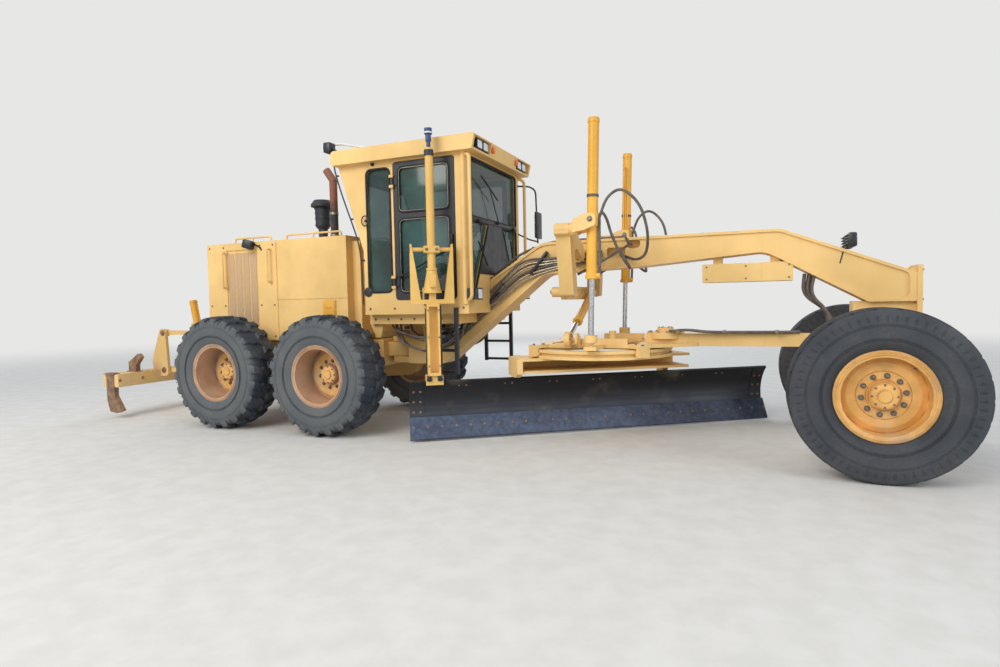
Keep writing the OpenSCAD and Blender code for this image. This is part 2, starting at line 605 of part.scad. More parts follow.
// Lift linkage
lift_x = ax - 2340;
trunnion_z = 2210;
stud_x = ax - 2370;
stud_z = 1040;
leg_x = [ax - 2740, ax - 2590];
bar_x = [ax - 2755, ax - 2715];
bar_y = 520;
shift_top = [ax - 2655, 330, 1500];
shift_eye = [ax - 2655, -600, 1060];
module lift_arms() color(yellow) difference() {
    union() {
        // Link bar under the beam
        front_plate(rounded([[-bar_y, 1460, 50], [bar_y, 1460, 50], [bar_y, 1600, 50], [-bar_y, 1600, 50]]), bar_x[0], bar_x[1]);
        both_sides() {
            // Pivot on the beam's web, arm and leg, swivel pin, sleeve
            pin_y((leg_x[0] + leg_x[1]) / 2, web_y + fit, 260, 1935, 85);
            front_plate(rounded([
                [200, 1850, 20], [200, 2020, 20], [640, 2205, 20], [760, 2205, 20], [766, 2100, 20], [705, 2084, 20],
                [620, 1640, 10], [590, 1495, 30], [460, 1495, 30], [480, 1640, 20], [560, 2000, 60], [420, 1960, 40]
            ]), leg_x[0], leg_x[1]);
            pin_x(ax - 2840, ax - 2620, 510, 1540, 52);
            pin_x(ax - 2730, ax - 2500, 700, 2150, 66);
            // Fork that holds the lift cylinder
            box([ax - 2510, ax - 2480], [lift_y - 111, lift_y + 111], [2095, 2215]);
            for (y = [lift_y - 111, lift_y + 82]) side_plate(rounded([
                [ax - 2510, 2095, 0], [ax - 2400, 2110, 40], [lift_x + 55, trunnion_z - 60, 40],
                [lift_x + 55, trunnion_z + 55, 45], [lift_x - 55, trunnion_z + 55, 40], [ax - 2510, 2215, 0]
            ]), y, y + 29);
        }
        // Cup for the ball end of the centre-shift cylinder
        box([bar_x[1] - 1, shift_top.x + 50], [shift_top.y - 10, shift_top.y + 60], [shift_top.z + 2, shift_top.z + 65]);
    }
    both_sides() pin_y(lift_x, lift_y - 130, lift_y + 130, trunnion_z, 25 + fit);
    translate(shift_top) sphere(r = 40 + fit, $fn = 48);
    for (y = [-380, -190, 0, 190]) front_plate(rounded([
        [y - 35, 1485, 34], [y + 35, 1485, 34], [y + 35, 1575, 34], [y - 35, 1575, 34]
    ]), bar_x[0] - 1, bar_x[1] + 1);
}
lift_dir = unit([stud_x - lift_x, 0, stud_z - trunnion_z]);
lift_c = [lift_x, lift_y, trunnion_z];
module lift_barrel() color(cylinder_yellow) difference() {
    union() {
        rod(lift_c + lift_dir * 550, lift_c - lift_dir * 950, lift_barrel_d / 2);
        pin_y(lift_x, lift_y - 108, lift_y + 108, trunnion_z, 25);
        rod(lift_c + lift_dir * 60, lift_c - lift_dir * 60, lift_barrel_d / 2 + 15);
    }
    rod(lift_c + lift_dir * 551, lift_c - lift_dir * 910, lift_rod_d / 2 + fit);
}
module lift_rod() color(chrome) {
    s = [stud_x, lift_y, stud_z];
    difference() {
        union() {
            rod(s - lift_dir * 60, s - lift_dir * 1400, lift_rod_d / 2);
            rod(s - lift_dir * 70, s, 62);
        }
        translate(s) sphere(r = 52, $fn = 48);
        rod(s - lift_dir * 5, s + lift_dir * 20, 51);
    }
}

// Drawbar, circle and blade
shoe_t = 60;
bar_z = [965, 1090];
frame_t = 36;
tooth_r = circle_d / 2 - 125;
drive_x = cx + 700;
module drawbar() color(yellow) {
    translate([ball_x, 0, ball_z]) sphere(r = ball_r, $fn = 48);
    rod([ball_x - 10, 0, ball_z], [ball_x - 150, 0, ball_z], 38);
    // Beam that widens towards the circle, then an open frame over it
    plan_plate(rounded([
        [ball_x - 130, -65, 20], [ball_x - 130, 65, 20], [cx + 1000, 110, 0], [cx + 520, 150, 0],
        [cx + 520, -150, 0], [cx + 1000, -110, 0]
    ]), bar_z[0], bar_z[1]);
    difference() {
        plan_plate(rounded([
            [cx + 1050, 110, 60], [cx + 520, 500, 160], [cx - 560, 500, 160], [cx - 560, -500, 160],
            [cx + 520, -500, 160], [cx + 1050, -110, 60]
        ]), bar_z[0], bar_z[0] + frame_t);
        for (x = [[cx + 190, cx + 470], [cx - 430, cx + 40]])
            plan_plate(rounded([[x[0], -370, 60], [x[1], -370, 60], [x[1], 370, 60], [x[0], 370, 60]]), bar_z[0] - 1, bar_z[1]);
    }
    box([stud_x - 60, stud_x + 60], [-lift_y - 50, lift_y + 50], [bar_z[0], bar_z[0] + frame_t]);
    both_sides() {
        // Side flange and the stud of a lift cylinder
        box([cx - 60, cx + 400], [468, 500], [bar_z[0], bar_z[1] - 30]);
        rod([stud_x, lift_y, bar_z[0] + 30], [stud_x, lift_y, stud_z], 18);
        translate([stud_x, lift_y, stud_z]) sphere(r = 32, $fn = 32);
    }
    // Lug of the centre-shift cylinder
    front_plate(rounded([
        [-640, 1020, 30], [-560, bar_z[0] + 2, 0], [-400, bar_z[0] + 2, 0], [-400, bar_z[0] + frame_t, 0],
        [-560, shift_eye.z + 60, 30], [-640, shift_eye.z + 60, 40]
    ]), shift_eye.x + 78, shift_eye.x + 100);
    pin_x(shift_eye.x - 36, shift_eye.x + 90, shift_eye.y, shift_eye.z, 10);
    // Circle drive: pinion drum inside the ring, housing and cap above, swivel behind
    pin_z(cx + tooth_r - 80, 0, cz + 10, bar_z[0] + 5, 74);
    pin_z(drive_x, 0, 1040, 1105, 190);
    pin_z(drive_x, 0, 1100, 1150, 83);
    pin_z(stud_x + 33, 0, bar_z[0] + 10, 1115, 38);
    // Shoes that hold the circle by a lip in the groove of its rim
    for (a = [45, 135, 225, 315]) translate([cx, 0, 0]) rotate(a) {
        box([circle_d / 2 + run, circle_d / 2 + shoe_t], [-60, 60], [cz + 20, bar_z[0] + 2]);
        box([circle_d / 2 - groove_r + run, circle_d / 2 + shoe_t - 5], [-60, 60], [cz + groove_z[0] + 5, cz + groove_z[1] - fit]);
        box([circle_d / 2 - 300, circle_d / 2 + shoe_t], [-60, 60], [bar_z[0], bar_z[0] + frame_t - 6]);
    }
}
module in_blade() {
    translate([cx, 0, 0]) rotate(blade_angle) children();
}
groove_r = 30;
groove_z = [30, 60];
arm_x = 900;
tip_y = 330;
tip_z = 300;
yoke_x = [-985, 930];
yoke_y = [-250, 160];
yoke_z = 705;
yoke_t = 26;
module turning_circle() color(yellow) {
    translate([cx, 0, cz]) rotate_extrude($fn = 96) polygon([
        [tooth_r, 0], [circle_d / 2, 0], [circle_d / 2, groove_z[0]], [circle_d / 2 - groove_r, groove_z[0]],
        [circle_d / 2 - groove_r, groove_z[1]], [circle_d / 2, groove_z[1]], [circle_d / 2, circle_h], [tooth_r, circle_h]
    ]);
    in_blade() difference() {
        union() {
            // Channel under the circle, open to the front, with a plate at its near end
            box(yoke_x, [yoke_y[1] - yoke_t, yoke_y[1]], [yoke_z, cz + 1]);
            box(yoke_x, yoke_y, [cz - yoke_t, cz + 1]);
            box(yoke_x, [yoke_y[0] + 20, yoke_y[1]], [yoke_z, yoke_z + yoke_t]);
            front_plate([
                [yoke_y[0], cz], [yoke_y[0], yoke_z], [yoke_y[0] + 120, yoke_z - 45], [yoke_y[1], yoke_z - 45], [yoke_y[1], cz]
            ], yoke_x[0], yoke_x[0] + 60);
            for (x = [-arm_x, arm_x - 60]) front_plate(rounded([
                [yoke_y[1] - yoke_t, cz, 0], [yoke_y[1] - yoke_t, yoke_z + 1, 0], [tip_y - 58, 560, 60], [tip_y - 58, tip_z - 58, 55],
                [tip_y + 58, tip_z - 58, 55], [tip_y + 58, 560, 100], [yoke_y[1] + 90, cz, 0]
            ]), x, x + 60);
        }
        pin_x(-arm_x - 100, arm_x + 100, tip_y, tip_z, 30 + fit);
    }
}
edge_y = 81;
mold_c = [edge_y - mold_r * cos(40), 330];
blade_x = [-blade_l / 2 + 13, blade_l / 2 + 13];
mold_angles = [-34:7.5:41];
mold_top = mold_c.y + (mold_r + mold_t) * sin(41);
end_bit = 160;
function mold_point(r, a) = mold_c + r * [cos(a), sin(a)];
rail_len = 2900;
rail_back = edge_y + 185;
carrier_y = edge_y + 140;
rail_top = [455, 495];
rail_low = [165, 205];
// Strip of the moldboard's curve between two radii
function curve(r0, r1) = concat(
    [for (a = mold_angles) mold_point(r0, a)],
    [for (a = [41:-7.5:-34]) mold_point(r1, a)]
);
module moldboard() color(steel_dark) in_blade() difference() {
    union() {
        front_plate(curve(mold_r, mold_r + mold_t), blade_x[0], blade_x[1]);
        for (z = [rail_top, rail_low])
            box([-rail_len / 2, rail_len / 2], [edge_y + 95, rail_back], z);
    }
    // Seams of the end bits
    for (x = [blade_x[0] + end_bit, blade_x[1] - end_bit]) front_plate(curve(mold_r - 2, mold_r + 5), x - 4, x + 4);
}
module cutting_edge() color([0.35, 0.40, 0.46]) in_blade() {
    low = mold_point(mold_r, -40);
    high = mold_point(mold_r - 2 * fit, -11.5);
    d = unit(high - low);
    n = [-d.y, d.x];
    foot = low - d * (low.y - edge_z) / d.y;
    front_plate([foot, high, high + n * 20, foot + n * 20 + d * 8], blade_x[0] - 6, blade_x[1] + 6);
}
module blade_carrier() color(yellow) in_blade() {
    for (s = [-1, 1]) difference() {
        front_plate([
            [carrier_y, 130], [tip_y + 50, 150], [tip_y + 50, 420], [carrier_y + 60, 540], [carrier_y, 540]
        ], s > 0 ? arm_x + run : -arm_x - 66, s > 0 ? arm_x + 66 : -arm_x - run);
        for (z = [rail_top, rail_low]) box([-1200, 1200], [edge_y + 90, rail_back + fit], [z[0] - fit, z[1] + fit]);
    }
    pin_x(-arm_x - 60, arm_x + 60, tip_y, tip_z, 30);
}
mast_x = -1800;
mast_y = 72;
mast_foot_z = mold_top + fit;
module mast_column() color(cylinder_yellow) in_blade() difference() {
    union() {
        // Foot that straddles the moldboard's upper edge
        box([mast_x - 90, mast_x + 90], [mast_y - 42, mast_y + 98], [mast_foot_z, 700]);
        for (y = [[mast_y - 42, mast_y - 17], [mast_y + 78, mast_y + 98]]) box([mast_x - 90, mast_x + 90], y, [600, 700]);
        box([mast_x - 65, mast_x + 65], [mast_y - 65, mast_y + 65], [699, 1446]);
        // Fork with its trunnions
        box([mast_x - 225, mast_x + 225], [mast_y - 40, mast_y + 40], [1445, 1490]);
        translate([mast_x, mast_y, 0]) for (s = [-1, 1])
            side_plate([[s * 225, 1489], [s * 222, 2060], [s * 204, 2060], [s * 120, 1489]], -35, 35);
        box([mast_x - 80, mast_x + 80], [mast_y - 55, mast_y + 55], [1970, 2040]);
        pin_x(mast_x - 228, mast_x + 228, mast_y, 2005, 22);
        // Tube with its bell housing
        box([mast_x - 35, mast_x + 35], [mast_y - 35, mast_y + 35], [1489, 1560]);
        pin_z(mast_x, mast_y, 1556, 1582, 98);
        translate([mast_x, mast_y, 1581]) cylinder(h = 205, r1 = 92, r2 = 52, $fn = 48);
        pin_z(mast_x, mast_y, 1580, 3040, 42);
    }
    // Open front of the column
    box([mast_x - 45, mast_x + 45], [mast_y - 66, mast_y + 10], [730, 1415]);
    pin_z(mast_x, mast_y, 1900, 3050, 22 + fit);
}
module mast_rod() color([0.15, 0.30, 0.50]) in_blade() {
    pin_z(mast_x, mast_y, 1950, 3120, 22);
    pin_z(mast_x, mast_y, 3110, 3180, 30);
    pin_z(mast_x, mast_y, 3180, 3240, 40);
}

// Centre-shift cylinder between the lift arms and the drawbar
shift_dir = unit(shift_eye - shift_top);
shift_l = norm(shift_eye - shift_top);
module shift_barrel() color(cylinder_yellow) difference() {
    union() {
        translate(shift_top) sphere(r = 40, $fn = 48);
        rod(shift_top, shift_top + shift_dir * 80, 25);
        rod(shift_top + shift_dir * 75, shift_top + shift_dir * 640, 45);
    }
    rod(shift_top + shift_dir * 95, shift_top + shift_dir * 641, 25 + fit);
}
module shift_rod() color(chrome) {
    rod(shift_top + shift_dir * 130, shift_top + shift_dir * (shift_l - 60), 25);
    difference() {
        pin_x(shift_eye.x - 28, shift_eye.x + 28, shift_eye.y, shift_eye.z, 76);
        pin_x(shift_eye.x - 29, shift_eye.x + 29, shift_eye.y, shift_eye.z, 61);
    }
}

// Ripper: a bar on two plates, held level by a lower and an upper pair of links
rip_link_l = 790;
rip_pin_x = rip_pivot_x - rip_link_l;
rip_bar_x = [rip_pin_x - 380, rip_pin_x - 70];
rip_bar_z = [420, 420 + ripper_s];
rip_y = 450;
rip_pin_r = 25;
rip_eye_x = rip_pivot_x - 170;
rip_cyl_y = 300;
rip_tube_r = 30;
module link_bar(z, y) {
    difference() {
        union() {
            box([rip_pin_x, rip_pivot_x], [y - 18, y + 18], [z - 30, z + 30]);
            for (x = [rip_pin_x, rip_pivot_x]) pin_y(x, y - 18, y + 18, z, 48);
        }
        for (x = [rip_pin_x, rip_pivot_x]) pin_y(x, y - 19, y + 19, z, rip_pin_r + fit);
    }
}
module ripper_links_low() color(yellow) {
    both_sides() link_bar(rip_low_z, rip_y - 50);
    pin_y(rip_eye_x, -rip_y + 60, rip_y - 60, rip_low_z, rip_tube_r);
}
module ripper_links_high() color(yellow) {
    both_sides() link_bar(rip_high_z, rip_y - 50);
}
module ripper_frame() color(yellow) {
    difference() {
        box(rip_bar_x, [-ripper_l / 2, ripper_l / 2], rip_bar_z);
        // Sockets for the shanks, through the bar from top to bottom
        for (y = [-1075, -750, 0, 1075]) box([rip_bar_x[0] + 80, rip_bar_x[1] - 80], [y - 32, y + 32], [rip_bar_z[0] - 1, rip_bar_z[1] + 1]);
    }
    both_sides() {
        side_plate(rounded([
            [rip_pin_x + 50, rip_high_z + 55, 50], [rip_pin_x - 55, rip_high_z + 55, 50], [rip_pin_x - 240, 700, 160],
            [rip_pin_x - 200, rip_bar_z[1] - 10, 0], [rip_pin_x - 70, rip_bar_z[1] - 10, 0], [rip_pin_x - 75, 500, 0],
            [rip_pin_x + 75, 500, 60], [rip_pin_x + 75, 720, 60]
        ]), rip_y - 20, rip_y + 20);
        for (z = [rip_low_z, rip_high_z]) pin_y(rip_pin_x, rip_y - 75, rip_y, z, rip_pin_r);
    }
}
module ripper_shanks() color(steel_dark) {
    side_plate([
        [rip_pin_x - 300 + fit, 610], [rip_pin_x - 150 - fit, 610], [rip_pin_x - 150 - fit, 300], [rip_pin_x - 20, 110],
        [rip_pin_x - 120, 75], [rip_pin_x - 250, 90], [rip_pin_x - 300 + fit, 240]
    ], -1075 - 32 + fit, -1075 + 32 - fit);
    side_plate([
        [rip_pin_x - 300 + fit, 422], [rip_pin_x - 150 - fit, 422], [rip_pin_x - 150 - fit, 690], [rip_pin_x - 60, 790],
        [rip_pin_x - 110, 840], [rip_pin_x - 300 + fit, 720]
    ], -750 - 32 + fit, -750 + 32 - fit);
}
rip_eye = [rip_eye_x, rip_cyl_y, rip_low_z];
rip_trunnion = [rip_pivot_x - 294, rip_cyl_y, 1200];
rip_dir = unit(rip_eye - rip_trunnion);
module ripper_barrels() color(cylinder_yellow) both_sides() difference() {
    union() {
        rod(rip_trunnion - rip_dir * 360, rip_trunnion + rip_dir * 230, 50);
        pin_y(rip_trunnion.x, rip_cyl_y - 75, rip_cyl_y + 75, rip_trunnion.z, 25);
    }
    rod(rip_trunnion - rip_dir * 300, rip_trunnion + rip_dir * 231, 24 + fit);
}
module ripper_rods() color(chrome) both_sides() {
    rod(rip_trunnion - rip_dir * 60, rip_eye - rip_dir * 62, 24);
    difference() {
        pin_y(rip_eye.x, rip_cyl_y - 28, rip_cyl_y + 28, rip_eye.z, 74);
        pin_y(rip_eye.x, rip_cyl_y - 29, rip_cyl_y + 29, rip_eye.z, rip_tube_r + 22);
    }
}

// The origin lies on the ground under the middle of the whole machine's box
far_end_y = max([for (a = mold_angles)
    blade_x[1] * sin(blade_angle) + mold_point(mold_r + mold_t, a).x * cos(blade_angle)]);
box_mid = [(ax + tread_r + rip_bar_x[0]) / 2, (far_end_y - wheel_y - tyre_w / 2) / 2, 0];
module grounded() {
    translate(-box_mid) children();
}

grounded() rear_frame();
grounded() rear_axle();
grounded() engine_block();
grounded() hood();
grounded() hood_grilles();
grounded() exhaust_stack();
grounded() pre_cleaner();
grounded() color(yellow) on_side(-1) tandem_case();  // tandem_case_right
grounded() color(yellow) on_side(1) tandem_case();  // tandem_case_left
grounded() color(tyre_grey) at_wheel(ax, -1) tyre(notch);  // front_tyre_right
grounded() color(tyre_grey) at_wheel(ax, 1) tyre(notch);  // front_tyre_left
grounded() color(tyre_grey) at_wheel(mid_x, -1) tyre(chevron);  // mid_tyre_right
grounded() color(tyre_grey) at_wheel(mid_x, 1) tyre(chevron);  // mid_tyre_left
grounded() color(tyre_grey) at_wheel(rear_x, -1) tyre(chevron);  // rear_tyre_right
grounded() color(tyre_grey) at_wheel(rear_x, 1) tyre(chevron);  // rear_tyre_left
grounded() color(rim_ochre) at_wheel(ax, -1) rim(front_disc, 60);  // front_rim_right
grounded() color(rim_ochre) at_wheel(ax, 1) rim(front_disc, 60);  // front_rim_left
grounded() color(rim_tan) at_wheel(mid_x, -1) rim(rear_disc, 60);  // mid_rim_right
grounded() color(rim_tan) at_wheel(mid_x, 1) rim(rear_disc, 60);  // mid_rim_left
grounded() color(rim_tan) at_wheel(rear_x, -1) rim(rear_disc, 60);  // rear_rim_right
grounded() color(rim_tan) at_wheel(rear_x, 1) rim(rear_disc, 60);  // rear_rim_left
grounded() front_frame();
grounded() front_axle();
grounded() color(yellow) on_side(-1) lean_yoke();  // lean_yoke_right
grounded() color(yellow) on_side(1) lean_yoke();  // lean_yoke_left
grounded() lean_bar();
grounded() color(yellow) on_side(-1) knuckle();  // knuckle_right
grounded() color(yellow) on_side(1) knuckle();  // knuckle_left
grounded() cab_body();
grounded() cab_roof();
grounded() cab_glass();
grounded() color(frame_black) on_side(-1) door();  // door_right
grounded() color(frame_black) on_side(1) door();  // door_left
grounded() color(glass_teal) on_side(-1) door_glass();  // door_glass_right
grounded() color(glass_teal) on_side(1) door_glass();  // door_glass_left
grounded() seat();
grounded() console();
grounded() steps();
grounded() lamps();
grounded() lift_arms();
grounded() on_side(-1) lift_barrel();  // lift_barrel_right
grounded() on_side(1) lift_barrel();  // lift_barrel_left
grounded() on_side(-1) lift_rod();  // lift_rod_right
grounded() on_side(1) lift_rod();  // lift_rod_left
grounded() drawbar();
grounded() turning_circle();  // circle
grounded() blade_carrier();
grounded() moldboard();
grounded() cutting_edge();
grounded() mast_column();
grounded() mast_rod();
grounded() shift_barrel();
grounded() shift_rod();
grounded() ripper_links_low();
grounded() ripper_links_high();
grounded() ripper_frame();
grounded() ripper_shanks();
grounded() ripper_barrels();
grounded() ripper_rods();
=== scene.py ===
"""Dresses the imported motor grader: paint, rubber, steel and glass finishes and the small fittings."""

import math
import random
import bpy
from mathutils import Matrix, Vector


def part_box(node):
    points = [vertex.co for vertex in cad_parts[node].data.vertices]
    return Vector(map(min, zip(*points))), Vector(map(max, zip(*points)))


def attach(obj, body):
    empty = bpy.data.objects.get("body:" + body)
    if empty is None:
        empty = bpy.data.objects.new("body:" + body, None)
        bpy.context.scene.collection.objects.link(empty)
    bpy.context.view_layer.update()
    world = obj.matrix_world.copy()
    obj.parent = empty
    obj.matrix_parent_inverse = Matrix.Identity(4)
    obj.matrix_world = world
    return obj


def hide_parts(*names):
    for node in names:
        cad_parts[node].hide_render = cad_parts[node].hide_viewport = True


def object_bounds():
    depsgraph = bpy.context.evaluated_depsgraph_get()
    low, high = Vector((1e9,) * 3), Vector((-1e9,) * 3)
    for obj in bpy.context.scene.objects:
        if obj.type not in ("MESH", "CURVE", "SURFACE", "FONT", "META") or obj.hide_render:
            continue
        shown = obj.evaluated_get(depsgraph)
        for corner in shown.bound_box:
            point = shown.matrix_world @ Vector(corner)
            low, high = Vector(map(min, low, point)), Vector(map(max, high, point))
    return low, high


bl_info = {
    "name": "Motor grader",
    "version": (1, 0, 0),
    "blender": (4, 5, 0),
    "location": "3D View > Sidebar > Grader",
    "description": "Adds finishes and fittings to a packed motor grader",
    "category": "Object",
}

import bmesh
import bpy
from mathutils import Matrix, Vector

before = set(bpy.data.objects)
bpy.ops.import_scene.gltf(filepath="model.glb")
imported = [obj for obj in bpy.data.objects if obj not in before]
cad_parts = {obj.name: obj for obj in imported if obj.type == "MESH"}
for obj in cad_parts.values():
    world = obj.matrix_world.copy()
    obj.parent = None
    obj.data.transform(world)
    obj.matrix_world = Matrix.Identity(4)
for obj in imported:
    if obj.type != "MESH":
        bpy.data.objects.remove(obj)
CAD_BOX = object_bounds()

SIDES = {"right": -1, "left": 1}
AXLES = ("front", "mid", "rear")


def lowest(node):
    """Corner of a node's box with the least of each coordinate."""
    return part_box(node)[0]


def highest(node):
    """Corner of a node's box with the most of each coordinate."""
    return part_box(node)[1]


def middle(node):
    """Middle of a node's box."""
    low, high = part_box(node)
    return (low + high) / 2


# Where the frame puts the front axle and the mid-plane, in metres
AXLE_X = middle("front_rim_right").x
MID_Y = middle("hood").y
UP = Vector((0, 0, 1))

# The blade turns with the circle; the moldboard's arc is given by its radius and its middle
CIRCLE_X = -2.48
BLADE_TURN = math.radians(34.5)
BLADE_ENDS = (-2.062, 2.088)
MOLD_R = 0.45
MOLD_BACK = 0.081 - MOLD_R * math.cos(math.radians(40))
MOLD_UP = 0.33
MAST = (-1.80, 0.072)

# Faces and pivots that several pieces share, measured like at()
HOOD_HALF = 0.59
CAB_SKIN = 0.75
WINDSHIELD_X = -3.688
DRIVE_HOUSING_X = -1.78
LIFT_PIVOT = (-2.34, 0.80, 2.21)
LIFT_RUN = Vector((-0.03, 0, -1.17))
LIFT_WAY = LIFT_RUN.normalized()


def at(x, y, z):
    """Point measured from the front axle, the mid-plane and the ground."""
    return Vector((AXLE_X + x, MID_Y + y, z))


def trail(*places):
    """Points measured like at()."""
    return [at(*place) for place in places]


def spokes(count, start=0.0):
    """Angles that divide a full turn evenly."""
    return [start + 2 * math.pi * i / count for i in range(count)]


def on_blade(along, back, z):
    """Point measured along the blade, backwards from it and from the ground."""
    c, s = math.cos(BLADE_TURN), math.sin(BLADE_TURN)
    return at(CIRCLE_X + along * c - back * s, along * s + back * c, z)


def blade_way(along, back, up):
    """Direction given like on_blade()."""
    return on_blade(along, back, up) - on_blade(0, 0, 0)


def on_mold(along, angle):
    """Point on the front face of the moldboard at an angle of its curve, in degrees."""
    a = math.radians(angle)
    return on_blade(along, MOLD_BACK + MOLD_R * math.cos(a), MOLD_UP + MOLD_R * math.sin(a))


def bent(points, radius, closed=False):
    """Points of a line through the given ones with rounded corners."""
    points = [Vector(p) for p in points]
    count = len(points)
    out = [] if closed else [points[0]]
    for i in range(0 if closed else 1, count if closed else count - 1):
        before, corner, after = points[i - 1], points[i], points[(i + 1) % count]
        start = corner + (before - corner).normalized() * min(radius, (before - corner).length * 0.48)
        end = corner + (after - corner).normalized() * min(radius, (after - corner).length * 0.48)
        for k in range(7):
            t = k / 6
            out.append(start * (1 - t) ** 2 + corner * 2 * t * (1 - t) + end * t * t)
    if not closed:
        out.append(points[-1])
    return out


def around(way):
    """Two unit vectors square to a direction."""
    way = Vector(way).normalized()
    first = way.orthogonal().normalized()
    return first, way.cross(first)


class Forge:
    """Collects the shapes of one piece and makes its object."""

    def __init__(self):
        self.bm = bmesh.new()

    def block(self, mid, size, soft=0.006, turn=0.0, tilt=0.0):
        """Box with rounded edges, tilted about Y and turned about the vertical through its middle."""
        spin = Matrix.Rotation(turn, 4, "Z") @ Matrix.Rotation(tilt, 4, "Y")
        place = Matrix.Translation(mid) @ spin @ Matrix.Diagonal((*size, 1.0))
        made = bmesh.ops.create_cube(self.bm, size=1.0, matrix=place)["verts"]
        edges = list(dict.fromkeys(e for v in made for e in v.link_edges))
        offset = min(soft, 0.3 * min(size))
        bmesh.ops.bevel(self.bm, geom=edges, offset=offset, segments=2, affect="EDGES", profile=0.5)

    def rings(self, rows, closed=False, caps=True):
        """Skins rows of points, each row a closed ring."""
        made = [[self.bm.verts.new(p) for p in row] for row in rows]
        count = len(made[0])
        for i in range(len(made) if closed else len(made) - 1):
            a, b = made[i], made[(i + 1) % len(made)]
            for k in range(count):
                self.bm.faces.new((a[k], a[(k + 1) % count], b[(k + 1) % count], b[k]))
        if caps and not closed:
            self.bm.faces.new(list(reversed(made[0])))
            self.bm.faces.new(made[-1])

    def lathe(self, spot, way, rows, sides=32, closed=False):
        """Turned form from rows of [along, radius]."""
        way = Vector(way).normalized()
        first, second = around(way)
        spun = []
        for along, radius in rows:
            mid = Vector(spot) + way * along
            reach = max(radius, 1e-4)
            spun.append([mid + (first * math.cos(a) + second * math.sin(a)) * reach for a in spokes(sides)])
        self.rings(spun, closed)

    def band(self, spot, way, start, end, inner, outer, sides=36):
        """Square-edged ring round an axis."""
        rows = ((start, inner), (start, outer), (end, outer), (end, inner))
        self.lathe(spot, way, rows, sides, closed=True)

    def pipe(self, points, radius, bend=0.05, closed=False, sides=10):
        """Round tube along a line with rounded corners."""
        path = bent(points, bend, closed)
        count = len(path)
        way = path[1] - path[0]
        up = around(way)[0]
        rows = []
        for i, p in enumerate(path):
            ahead = path[(i + 1) % count] if closed or i + 1 < count else p
            behind = path[i - 1] if closed or i else p
            way = (ahead - behind).normalized()
            up = (up - way * up.dot(way)).normalized()
            side = way.cross(up)
            rows.append([p + (up * math.cos(a) + side * math.sin(a)) * radius for a in spokes(sides)])
        self.rings(rows, closed)

    def plate(self, outline, spot, across, up, thick):
        """Flat plate from an outline of [across, up]."""
        across, up = Vector(across), Vector(up)
        out = across.cross(up).normalized() * thick
        low = [Vector(spot) + across * a + up * b for a, b in outline]
        self.rings([low, [p + out for p in low]])

    def bolt(self, spot, way, radius=0.014):
        """Hexagon head on a washer."""
        self.lathe(spot, way, ((-0.001, radius * 1.35), (0.003, radius * 1.35)), 16)
        self.lathe(spot, way, ((0.002, radius), (radius * 0.9, radius), (radius * 1.05, radius * 0.8)), 6)

    def make(self, name, finish, body, angle=34):
        """Turns the shapes into an object that rides on a body."""
        bmesh.ops.recalc_face_normals(self.bm, faces=self.bm.faces)
        mesh = bpy.data.meshes.new(name)
        self.bm.to_mesh(mesh)
        self.bm.free()
        mesh.polygons.foreach_set("use_smooth", [True] * len(mesh.polygons))
        mesh.set_sharp_from_angle(angle=math.radians(angle))
        mesh.materials.append(FINISHES[finish])
        piece = bpy.data.objects.new(name, mesh)
        bpy.context.scene.collection.objects.link(piece)
        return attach(piece, body)


def linear(red, green, blue):
    """Shader colour of an 8-bit screen colour."""
    out = []
    for level in (red, green, blue):
        c = level / 255
        out.append(c / 12.92 if c <= 0.04045 else ((c + 0.055) / 1.055) ** 2.4)
    return (*out, 1.0)


def shade(color, share, lift=0.0):
    """The colour made darker or paler."""
    return (*(min(1.0, c * share + lift) for c in color[:3]), 1.0)


